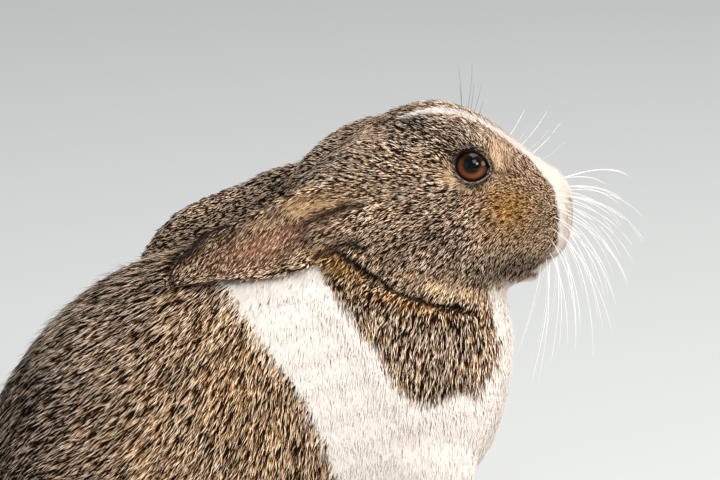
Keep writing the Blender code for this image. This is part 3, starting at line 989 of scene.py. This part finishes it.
def build_layer(name, groups, material):
    """One coat piece from two groups of tufts, the bent ones and the straight ones."""
    points, shading, faces, along, uvs = [], [], [], [], []
    marks = {key: [] for key in (*MARKS, "shade")}
    start = 0
    for bent, tufts in groups:
        place, above, below = tuft_points(tufts, bent)
        count, per = place.shape[:2]
        shape = BENT if bent else STRAIGHT
        pattern = shape["faces"]
        faces.append((pattern[None] + start + (np.arange(count) * per)[:, None, None]).reshape(-1, 3))
        points.append(place.reshape(-1, 3))
        under = shape["under"][None, :, None, None]
        shading.append(np.where(under, below[:, pattern], above[:, pattern]).reshape(-1, 3))
        along.append(np.tile(shape["along"], count))
        offset = columns(shape["across"], shape["along"] - 0.5) * TUFT_IN_UV
        uvs.append((tufts["uv"][:, None, :] + offset[None]).reshape(-1, 2))
        for key in marks:
            marks[key].append(np.repeat(tufts[key], per))
        start += count * per
    points, faces, uvs = np.concatenate(points), np.concatenate(faces), np.concatenate(uvs)
    mesh = bpy.data.meshes.new(name)
    mesh.vertices.add(len(points))
    mesh.vertices.foreach_set("co", points.ravel())
    mesh.loops.add(faces.size)
    mesh.loops.foreach_set("vertex_index", faces.ravel())
    mesh.polygons.add(len(faces))
    mesh.polygons.foreach_set("loop_start", np.arange(len(faces)) * 3)
    mesh.update(calc_edges=True)
    mesh.shade_smooth()
    mesh.normals_split_custom_set(np.concatenate(shading))
    layer = mesh.uv_layers.new(name="OFBake")
    layer.uv.foreach_set("vector", np.clip(uvs[faces.ravel()], 0, 1).ravel())
    store(mesh, "along", np.concatenate(along))
    for key, values in marks.items():
        store(mesh, key, np.concatenate(values))
    mesh.materials.append(material)
    obj = new_object(name, mesh)
    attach(obj, "root")
    return obj


def coat_fields(points, normals, labels, edges, marks):
    """Tuft length, width, rise and density for each skin vertex."""
    kinds = KINDS[labels]
    near = face_nearness(points)
    head = kinds == "head"
    tip = bell(np.linalg.norm(points - NOSE_TIP, axis=1), 0, 13 * MM)
    length = coat_value(labels, LENGTH) * np.where(head, 1 - 0.55 * near - 0.22 * tip, 1)
    width = coat_value(labels, WIDTH) * np.where(head, 1 - 0.1 * near - 0.25 * tip, 1)
    cover = coat_value(labels, COVER)
    rise = coat_value(labels, DEPTH) * np.where(head, 1 - 0.5 * near**1.5 - 0.25 * tip, 1)
    rise = rise * white_front_depth(points, kinds)
    under = normals[:, 2] < -0.55
    cover = np.where(under & np.isin(kinds, ["trunk", "thigh"]), cover * 0.7, cover)
    cover = np.where(points[:, 2] < 1.2 * MM, cover * 0.3, cover)
    cover = np.where(in_ear_hollow(points, normals, kinds), cover * 0.8, cover)
    cover = cover * (1 - 0.45 * marks["pink"])
    long_white = (marks["white"] > 0.5) & (length > LONG_FUR)
    cover = np.where(long_white, cover * WHITE_COVER, cover)
    width = np.where(long_white, width * WHITE_WIDTH, width)
    cover = cover * (1 - 0.4 * marks["fold"]) * (marks["lip"] < 0.4)
    length, width, rise = (spread(v, edges, 22) for v in (length, width, rise))
    for side in SIDES:
        out, _ = outside_lids(points, side)
        close = np.clip(0.32 + out * 0.14, 0.32, 1)
        cover = np.where(out < 0.85, 0, cover)
        length, rise, width = length * close, rise * close, width * np.sqrt(close)
    density = 2 * cover / (length * width)
    return {"length": length * MM, "width": width * MM, "rise": rise * MM, "density": density}


def grow_coat(skin, material):
    """All coat pieces, and the index in FLESH of the node nearest to each vertex of the skin."""
    mesh = skin.data
    points, edges, normals = points_of(mesh), edges_of(mesh), normals_of(mesh)
    labels = nearest_nodes(points)
    flow = flow_field(points, normals, labels, edges)
    fields = coat_fields(points, normals, labels, edges, markings(points, labels, normals))
    corners, corner_uv = triangles_of(mesh)
    index, weights = scatter(points, corners, fields["density"])
    at = corners[index]
    count = len(index)
    root = blend(points, at, weights)
    normal = unit(blend(normals, at, weights))
    lie = along_surface(blend(flow, at, weights), normal)
    swing = rng.normal(0, SWING_SPREAD, count)[:, None]
    lie = unit(lie * np.cos(swing) + np.cross(normal, lie) * np.sin(swing))
    tufts = {
        "root": root,
        "normal": normal,
        "flow": lie,
        "length": blend(fields["length"], at, weights) * rng.uniform(*SIZE_RANGE, count),
        "width": blend(fields["width"], at, weights) * rng.uniform(*SIZE_RANGE, count),
        "rise": blend(fields["rise"], at, weights) * rng.uniform(*RISE_RANGE, count),
        "sway": rng.normal(0, SWAY_SPREAD, count),
        "uv": (corner_uv[index] * weights[:, :, None]).sum(1),
        "shade": (np.arange(count) * GOLDEN_SHARE + rng.uniform(0, 0.3, count)) % 1,
    }
    corner_label = labels[at[np.arange(count), weights.argmax(1)]]
    shown = root + lie * tufts["length"][:, None] * 0.6 + normal * tufts["rise"][:, None] * 0.8
    tufts.update(markings(shown, corner_label, normal))
    guard = rng.uniform(0, 1, count) < GUARD_SHARE
    is_white = tufts["white"] > 0.5
    tufts["rise"] = tufts["rise"] * np.where(guard, np.where(is_white, 1.2, 1.6), 1.0)
    tufts["width"] = np.where(guard, tufts["width"] * GUARD_WIDTH, tufts["width"])
    sunk = 1 - 0.45 * tufts["fold"]
    tufts["rise"], tufts["length"] = tufts["rise"] * sunk, tufts["length"] * sunk
    even = 0.35 * tufts["rise"] + 0.42 * blend(fields["rise"], at, weights)
    tufts["rise"] = np.where(is_white & ~guard, even, tufts["rise"])
    bend = tufts["length"] > BENT_FROM
    order = rng.permutation(count)
    cost = np.cumsum(np.where(bend[order], len(BENT["faces"]), len(STRAIGHT["faces"])))
    layer_of = (cost // LAYER_TRIANGLES).astype(int)
    for layer in range(layer_of.max() + 1):
        chosen = order[layer_of == layer]
        groups = []
        for bent in (True, False):
            part = chosen[bend[chosen] == bent]
            groups.append((bent, {key: value[part] for key, value in tufts.items()}))
        build_layer(f"coat_{layer + 1}", groups, material)
    return labels


# ------------------------------------------------------------------ materials


class Graph:
    """A few words for building a material's nodes."""

    def __init__(self, name):
        self.material = bpy.data.materials.new(name)
        self.material.use_nodes = True
        self.tree = self.material.node_tree
        self.shader = self.tree.nodes["Principled BSDF"]

    def node(self, kind, **settings):
        made = self.tree.nodes.new(kind)
        for key, value in settings.items():
            setattr(made, key, value)
        return made

    def link(self, source, target):
        self.tree.links.new(source, target)

    def finish(self, colour, **values):
        """Gives the shader its colour and its other inputs, and returns the material."""
        if isinstance(colour, tuple):
            self.shader.inputs["Base Color"].default_value = (*colour, 1)
        else:
            self.link(colour, self.shader.inputs["Base Color"])
        for key, value in values.items():
            self.shader.inputs[key.replace("_", " ")].default_value = value
        return self.material

    def attribute(self, name):
        return self.node("ShaderNodeAttribute", attribute_name=name).outputs["Fac"]

    def share(self, name, amount):
        """A share of an attribute."""
        return self.math("MULTIPLY", self.attribute(name), amount)

    def math(self, operation, a, b=None, clamp=False):
        made = self.node("ShaderNodeMath", operation=operation, use_clamp=clamp)
        for slot, value in enumerate((a, b)):
            if value is None:
                continue
            if isinstance(value, (int, float)):
                made.inputs[slot].default_value = value
            else:
                self.link(value, made.inputs[slot])
        return made.outputs[0]

    def ramp(self, factor, stops):
        made = self.node("ShaderNodeValToRGB")
        elements = made.color_ramp.elements
        while len(elements) < len(stops):
            elements.new(0.5)
        for element, (place, colour) in zip(elements, stops):
            element.position = place
            element.color = (*colour, 1)
        self.link(factor, made.inputs["Fac"])
        return made.outputs["Color"]

    def mix(self, factor, a, b, blend="MIX"):
        made = self.node("ShaderNodeMix", data_type="RGBA", blend_type=blend)
        for value, name in ((factor, "Factor_Float"), (a, "A_Color"), (b, "B_Color")):
            target = next(s for s in made.inputs if s.identifier == name)
            if isinstance(value, (int, float)):
                target.default_value = value
            elif isinstance(value, tuple):
                target.default_value = (*value, 1)
            else:
                self.link(value, target)
        return next(s for s in made.outputs if s.identifier == "Result_Color")

    def along_axis(self, direction, axis):
        """How far a unit direction points along an axis, from -1 to 1."""
        dot = self.node("ShaderNodeVectorMath", operation="DOT_PRODUCT")
        self.link(direction.outputs[0], dot.inputs[0])
        dot.inputs[1].default_value = tuple(axis)
        return dot.outputs["Value"]

    def noise(self, scale, detail=2.0, roughness=0.5):
        place = self.node("ShaderNodeTexCoord").outputs["Object"]
        made = self.node("ShaderNodeTexNoise")
        made.inputs["Scale"].default_value = scale
        made.inputs["Detail"].default_value = detail
        made.inputs["Roughness"].default_value = roughness
        self.link(place, made.inputs["Vector"])
        return made.outputs["Fac"]


# Colours of a hair from its root, 0, to its tip, 1, and of bare skin from place to place.
BANDED_HAIR = [
    (0.0, (0.010, 0.004, 0.001)),
    (0.38, (0.026, 0.011, 0.003)),
    (0.52, (0.38, 0.21, 0.10)),
    (0.68, (1.0, 0.84, 0.68)),
    (1.0, (0.97, 0.79, 0.62)),
]
GINGER_HAIR = [(0.0, (0.03, 0.012, 0.002)), (0.45, (0.30, 0.13, 0.02)), (0.7, (1.0, 0.66, 0.27))]
CREAM_HAIR = [(0.0, (0.10, 0.06, 0.03)), (0.35, (0.64, 0.42, 0.25)), (0.62, (1.0, 0.75, 0.49))]
# Black hairs, which also stand in for painted shade in the gaps between hairs.
BLACK_HAIR_AND_GAP_SHADE = [(0.0, (0.007, 0.003, 0.001)), (0.7, (0.015, 0.008, 0.004)), (1.0, (0.009, 0.005, 0.003))]
ROSY_HAIR = [(0.0, (0.14, 0.05, 0.03)), (0.5, (0.40, 0.22, 0.14)), (1.0, (0.96, 0.74, 0.60))]
BARE_SKIN = [(0.35, (0.24, 0.095, 0.06)), (0.65, (0.38, 0.18, 0.12))]
WHITE_HAIR = [(0.0, (0.67, 0.595, 0.535)), (0.45, (0.69, 0.62, 0.565)), (1.0, (0.705, 0.64, 0.585))]
# How light a hair is, by its shade, and how light the coat is, by place.
LIGHTNESS = [(0.42, (0.27, 0.17, 0.09)), (0.66, (0.72, 0.63, 0.54)), (0.84, (1.0, 1.0, 1.0))]
PATCHINESS = [(0.32, (0.72, 0.71, 0.70)), (0.68, (1.2, 1.15, 1.09))]
# The share of black hairs, which are partly real black hairs and partly painted shade in the gaps between
# hairs, and how much the marks of darker fur and shade, of cream and of ginger change it.
BLACK_AND_GAP_SHADE_SHARE, DARK_TONE_AND_SHADE_ADDS, PALE_TAKES = 0.45, 0.36, 0.19
# Marks that cover the coat: how fully, and in what colour. The first is painted shade in the folds; the
# others are colours of the bare skin at the lids, of their pale rim and of the bare lips and nostrils.
COVERING_MARKS = [
    ("fold", 0.85, (0.008, 0.005, 0.004)),
    ("bare", 1.0, (0.010, 0.008, 0.007)),
    ("rim", 1.0, (0.60, 0.49, 0.45)),
    ("lip", 1.0, (0.38, 0.20, 0.165)),
]


def coat_colour(graph, along, shade):
    """The colour of a hair from how far along it is, a value of its own, and the markings."""
    banded, ginger = graph.ramp(along, BANDED_HAIR), graph.ramp(along, GINGER_HAIR)
    coat = graph.mix(graph.attribute("ginger"), banded, ginger)
    coat = graph.mix(graph.attribute("cream"), coat, graph.ramp(along, CREAM_HAIR))
    lightness = graph.ramp(shade, LIGHTNESS)
    coat = graph.mix(graph.math("SUBTRACT", 1.0, graph.share("cream", 0.6)), coat, lightness, "MULTIPLY")
    pale_marks = graph.math("ADD", graph.attribute("cream"), graph.attribute("ginger"))
    darker = graph.math("ADD", graph.share("dark", DARK_TONE_AND_SHADE_ADDS), BLACK_AND_GAP_SHADE_SHARE)
    black_and_gap_shade_share = graph.math("SUBTRACT", darker, graph.math("MULTIPLY", pale_marks, PALE_TAKES))
    # Black hairs, partly real and partly painted shade between hairs, chosen by each hair's own random value.
    in_black_and_gap_shade = graph.math("MULTIPLY", graph.math("SUBTRACT", black_and_gap_shade_share, shade), 14.0, clamp=True)
    coat = graph.mix(in_black_and_gap_shade, coat, graph.ramp(along, BLACK_HAIR_AND_GAP_SHADE))
    # Darkens the coat where the mark of darker fur and painted shade is strong.
    coat = graph.mix(graph.share("dark", 0.35), coat, (0.012, 0.007, 0.005))
    coat = graph.mix(1.0, coat, graph.ramp(graph.noise(60.0, 3.0), PATCHINESS), "MULTIPLY")
    coat = graph.mix(graph.attribute("grey"), coat, (1.0, 1.02, 1.08), "MULTIPLY")
    rosy = graph.mix(1.0, graph.ramp(along, ROSY_HAIR), lightness, "MULTIPLY")
    coat = graph.mix(graph.share("pink", 0.8), coat, rosy)
    for mark, fully, colour in COVERING_MARKS:
        coat = graph.mix(graph.share(mark, fully), coat, colour)
    white = graph.mix(graph.math("MULTIPLY", shade, 0.1), graph.ramp(along, WHITE_HAIR), (0.65, 0.55, 0.45))
    is_white = graph.math("SUBTRACT", graph.attribute("white"), graph.attribute("lip"), clamp=True)
    return graph.mix(is_white, coat, white)


def coat_material():
    graph = Graph("coat_hair")
    colour = coat_colour(graph, graph.attribute("along"), graph.attribute("shade"))
    return graph.finish(colour, Roughness=0.6, Specular_IOR_Level=0.03)


def skin_material():
    """Bare skin and undercoat, in the same markings as the coat."""
    graph = Graph("skin_under_coat")
    grain = graph.noise(900.0, 3.0, 0.6)
    along = graph.math("MULTIPLY", grain, 0.5)
    under = coat_colour(graph, along, graph.noise(1400.0, 1.0))
    flesh = graph.ramp(graph.noise(140.0, 4.0, 0.6), BARE_SKIN)
    bump = graph.node("ShaderNodeBump")
    bump.inputs["Strength"].default_value = 0.4
    bump.inputs["Distance"].default_value = 0.0006
    graph.link(grain, bump.inputs["Height"])
    graph.link(bump.outputs["Normal"], graph.shader.inputs["Normal"])
    colour = graph.mix(graph.attribute("pink"), under, flesh)
    return graph.finish(colour, Roughness=0.75, Specular_IOR_Level=0.2)


def speckled_material(name, scale, detail, darker, lighter, roughness):
    """Horn or hair that goes between two colours."""
    graph = Graph(name)
    colour = graph.ramp(graph.noise(scale, detail), [(0.3, darker), (0.7, lighter)])
    return graph.finish(colour, Roughness=roughness)


def eye_material(side, centre, axis):
    """A brown iris round a wide black pupil, by the angle from the eye's axis, with painted shade from the
    upper lid over its top.
    """
    graph = Graph(f"eye_iris_{side}")
    place = graph.node("ShaderNodeTexCoord").outputs["Object"]
    offset = graph.node("ShaderNodeVectorMath", operation="SUBTRACT")
    graph.link(place, offset.inputs[0])
    offset.inputs[1].default_value = centre
    direction = graph.node("ShaderNodeVectorMath", operation="NORMALIZE")
    graph.link(offset.outputs[0], direction.inputs[0])
    angle = graph.math("ARCCOSINE", graph.along_axis(direction, axis))
    flecks = graph.math("MULTIPLY", graph.math("SUBTRACT", graph.noise(900.0, 3.0, 0.65), 0.5), 0.12)
    spread_angle = graph.math("ADD", angle, flecks)
    iris = graph.ramp(
        graph.math("DIVIDE", spread_angle, 1.6),
        [
            (0.0, (0.001, 0.001, 0.001)),
            (0.27, (0.001, 0.001, 0.001)),
            (0.30, (0.040, 0.011, 0.003)),
            (0.42, (0.145, 0.038, 0.008)),
            (0.52, (0.085, 0.022, 0.005)),
            (0.60, (0.012, 0.004, 0.002)),
        ],
    )
    _, front, up = eye_frame(side)
    # Painted shade from the upper lid over the top of the iris, and a little painted light on its lower part.
    upwards = graph.math("ADD", graph.math("MULTIPLY", graph.along_axis(direction, up), 0.5), 0.5)
    level = graph.ramp(upwards, [(0.36, (1.15, 1.15, 1.15)), (0.62, (0.10, 0.10, 0.10))])
    iris = graph.mix(1.0, iris, level, "MULTIPLY")
    corner = graph.ramp(graph.along_axis(direction, front), [(0.92, (0, 0, 0)), (0.95, (1, 1, 1))])
    iris = graph.mix(corner, iris, (0.32, 0.15, 0.115))
    gloss = {"Coat_Weight": 0.5, "Coat_Roughness": 0.02, "Coat_IOR": 1.4}
    return graph.finish(iris, Roughness=0.35, Specular_IOR_Level=0.0, **gloss)


# ----------------------------------------------------------------------- eyes


# How far the eyeball lies inside the solid, and how high and how wide the cornea bulges.
EYE_INSET = 0.35 * MM
CORNEA_RISE, CORNEA_REACH = 0.055, 0.62


def make_eye(side):
    """An eyeball with the cornea's bulge, looking outwards and a little up."""
    centre = EYE_CENTRES[side]
    axis = Vector(eye_frame(side)[0])
    bm = bmesh.new()
    bmesh.ops.create_uvsphere(bm, u_segments=64, v_segments=40, radius=1.0)
    turn = axis.to_track_quat("Z", "Y").to_matrix().to_4x4()
    for vert in bm.verts:
        angle = vert.co.angle(Vector((0, 0, 1)))
        bulge = CORNEA_RISE * math.exp(-((angle / CORNEA_REACH) ** 2))
        vert.co *= (EYE_RADIUS - EYE_INSET) * (1 + bulge)
    bmesh.ops.transform(bm, matrix=Matrix.Translation(centre) @ turn, verts=bm.verts)
    mesh = mesh_from(bm, f"eyeball_{side}")
    mesh.shade_smooth()
    mesh.materials.append(eye_material(side, centre, axis))
    obj = new_object(f"eyeball_{side}", mesh)
    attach(obj, "root")
    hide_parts(f"eye_{side}")


# ---------------------------------------------------------- whiskers and claws


def add_tube(bm, points, radii, sides=5):
    """A closed tube through the points, with a radius at each."""
    points = [Vector(p) for p in points]
    rings = []
    for i, point in enumerate(points):
        along = (points[min(i + 1, len(points) - 1)] - points[max(i - 1, 0)]).normalized()
        across = along.orthogonal().normalized()
        other = along.cross(across)
        turns = [2 * math.pi * k / sides for k in range(sides)]
        ring = [bm.verts.new(point + (across * math.cos(a) + other * math.sin(a)) * radii[i]) for a in turns]
        rings.append(ring)
    for low, high in zip(rings, rings[1:]):
        for k in range(sides):
            bm.faces.new((low[k], low[(k + 1) % sides], high[(k + 1) % sides], high[k]))
    bm.faces.new(rings[0][::-1])
    bm.faces.new(rings[-1])


def finish_piece(bm, name, material, nodes=()):
    """A piece of the visual model, in place of these nodes."""
    bmesh.ops.recalc_face_normals(bm, faces=bm.faces)
    mesh = mesh_from(bm, name)
    mesh.shade_smooth()
    mesh.materials.append(material)
    obj = new_object(name, mesh)
    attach(obj, "root")
    if nodes:
        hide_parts(*nodes)


def add_hairs(bm, hairs, sign, tree):
    """Tapering, bending hairs: each a root ahead of the nose, a way, a length and a radius in millimetres."""
    for root, way, length, radius in hairs:
        place = np.array((NOSE_X, 0, 0)) + root * (1, sign, 1) * MM
        found = tree.find_nearest(Vector(place))[0]
        way = way * (1, sign, 1)
        droop = np.array((-0.25, 0.0, -0.32)) if way[2] < 0.3 else np.array((-0.1, 0.0, 0.12))
        steps = np.linspace(0, 1, 12)
        line = [np.array(found) + (way * t + droop * t * t) * length * MM for t in steps]
        line[0] = line[0] - way * 1.0 * MM
        add_tube(bm, line, [radius * MM * (1 - t) ** 0.7 + 0.035 * MM for t in steps])


def over_eye(table, radius):
    """Hairs that stand over the eye, from a table of places behind the nose."""
    hairs = []
    for back, height, angle, length in table:
        way = unit(np.array((math.cos(math.radians(angle)), 0.5, math.sin(math.radians(angle)) + 0.13)))
        hairs.append((np.array((-back, 13, height)), way, length, radius))
    return hairs


def make_whiskers(side, tree):
    """A fan of whiskers from the upper lip, and hairs over the eye and on the crown."""
    hairs = []
    for k in range(WHISKERS):
        t = k / (WHISKERS - 1)
        row = k % 3
        root = np.array((-3 - 3.2 * row - 3 * t, 9 + 2.5 * row, 214 - 40 * t))
        swing = math.radians(9 - 101 * t + rng.uniform(-5, 5))
        length = rng.uniform(34, 56) - 4 * t
        out = rng.uniform(0.2, 0.55)
        way = unit(np.array((math.cos(swing), out, math.sin(swing) + 0.27 * out)))
        hairs.append((root, way, length, WHISKER_RADIUS))
    nodes = [node for node in WHISKER_NODES if side in node]
    bm = bmesh.new()
    add_hairs(bm, hairs + over_eye(BROW_HAIRS, BROW_RADIUS), SIDES[side], tree)
    tones = (0.80, 0.74, 0.64), (0.93, 0.90, 0.84)
    ivory = speckled_material(f"whisker_ivory_{side}", 500.0, 2.0, *tones, 0.35)
    finish_piece(bm, f"whiskers_{side}", ivory, nodes)
    bm = bmesh.new()
    add_hairs(bm, over_eye(CROWN_HAIRS, CROWN_RADIUS), SIDES[side], tree)
    tones = (0.02, 0.014, 0.01), (0.06, 0.045, 0.035)
    black = speckled_material(f"crown_hair_{side}", 500.0, 2.0, *tones, 0.35)
    finish_piece(bm, f"crown_hairs_{side}", black)


def make_claws(tree):
    """Four claws at the front of each foot, their tips showing from the fur."""
    horn = speckled_material("claw_horn", 300.0, 3.0, (0.30, 0.22, 0.16), (0.46, 0.36, 0.27), 0.38)
    for node, _ in FEET:
        low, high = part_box(node)
        middle, half = (low.y + high.y) / 2, (high.y - low.y) / 2
        big = 1.2 if node.startswith("hind") else 0.95
        bm = bmesh.new()
        for across in TOES:
            ahead = Vector((high.x - 1 * MM, middle + across * half, 4.6 * MM))
            start = tree.find_nearest(ahead)[0] - Vector((1.6 * MM, 0, 0))
            steps = [k / 7 for k in range(8)]
            curve = [start + Vector((6.4 * t, 0, 0.4 * t - 3.2 * t * t)) * MM * big for t in steps]
            radii = [0.95 * MM * big * (1 - t**1.6) + 0.12 * MM for t in steps]
            for point, radius in zip(curve, radii):
                point.z = max(point.z, radius + 0.1 * MM)
            add_tube(bm, curve, radii, 8)
        finish_piece(bm, f"claws_{node}", horn)


# ----------------------------------------------------------- camera and light


def make_camera():
    """A camera far enough away for little perspective."""
    cam = bpy.data.cameras.new("camera")
    cam.sensor_width = SENSOR
    cam.lens = SENSOR * CAMERA_DISTANCE / VIEW_WIDTH
    cam.clip_start, cam.clip_end = 0.1, 50
    obj = new_object("camera", cam)
    back = Vector((0, -math.cos(VIEW_ELEVATION), math.sin(VIEW_ELEVATION)))
    obj.location = VIEW_CENTRE + back * CAMERA_DISTANCE
    obj.rotation_mode = "QUATERNION"
    obj.rotation_quaternion = (-back).to_track_quat("-Z", "Y")
    bpy.context.scene.camera = obj


# Lights: name, place, size, power and colour. All point at the middle of the rabbit.
LIT_PLACE = Vector((0.0, 0.0, 0.12))
LIGHTS = [
    ("key", (1.3, -1.6, 1.2), 0.6, 34, (1.0, 0.95, 0.88)),
    ("window", (0.58, -1.41, 1.71), 0.9, 26, (0.88, 0.95, 1.0)),
    ("front", (1.9, -0.3, 0.7), 0.8, 20, (1.0, 0.98, 0.95)),
    ("top", (0.2, 0.2, 1.9), 1.0, 22, (1.0, 0.98, 0.95)),
    ("fill", (-1.4, -0.9, 0.6), 1.2, 3, (0.9, 0.95, 1.0)),
]


def area_light(name, place, size, power, colour):
    light = bpy.data.lights.new(name, "AREA")
    light.shape = "SQUARE"
    light.size = size
    light.energy = power
    light.color = colour
    obj = new_object(name, light)
    obj.location = place
    obj.rotation_mode = "QUATERNION"
    obj.rotation_quaternion = (LIT_PLACE - Vector(place)).to_track_quat("-Z", "Y")


def make_studio():
    """Soft lights, a pale sky and a plain floor."""
    world = bpy.data.worlds.new("studio")
    bpy.context.scene.world = world
    world.use_nodes = True
    sky = world.node_tree.nodes["Background"]
    sky.inputs["Color"].default_value = (0.88, 0.91, 0.96, 1)
    sky.inputs["Strength"].default_value = 0.55
    for light in LIGHTS:
        area_light(*light)
    bm = bmesh.new()
    bmesh.ops.create_grid(bm, x_segments=1, y_segments=1, size=6.0)
    floor = new_object("floor", mesh_from(bm, "floor"))
    floor.data.materials.append(Graph("floor_paint").finish((0.48, 0.485, 0.475), Roughness=0.85))
    bpy.context.scene.view_settings.view_transform = "Standard"


# ----------------------------------------------------------------------- main


def main():
    make_camera()
    make_studio()
    skin = make_skin()
    unwrap(skin)
    labels = grow_coat(skin, coat_material())
    mesh = skin.data
    mesh.shade_smooth()
    for key, values in markings(points_of(mesh), labels, normals_of(mesh)).items():
        store(mesh, key, values)
    mesh.materials.append(skin_material())
    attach(skin, "root")
    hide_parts(*FLESH)
    tree = tree_of_mesh(mesh)
    for side in SIDES:
        make_eye(side)
        make_whiskers(side, tree)
    make_claws(tree)


main()
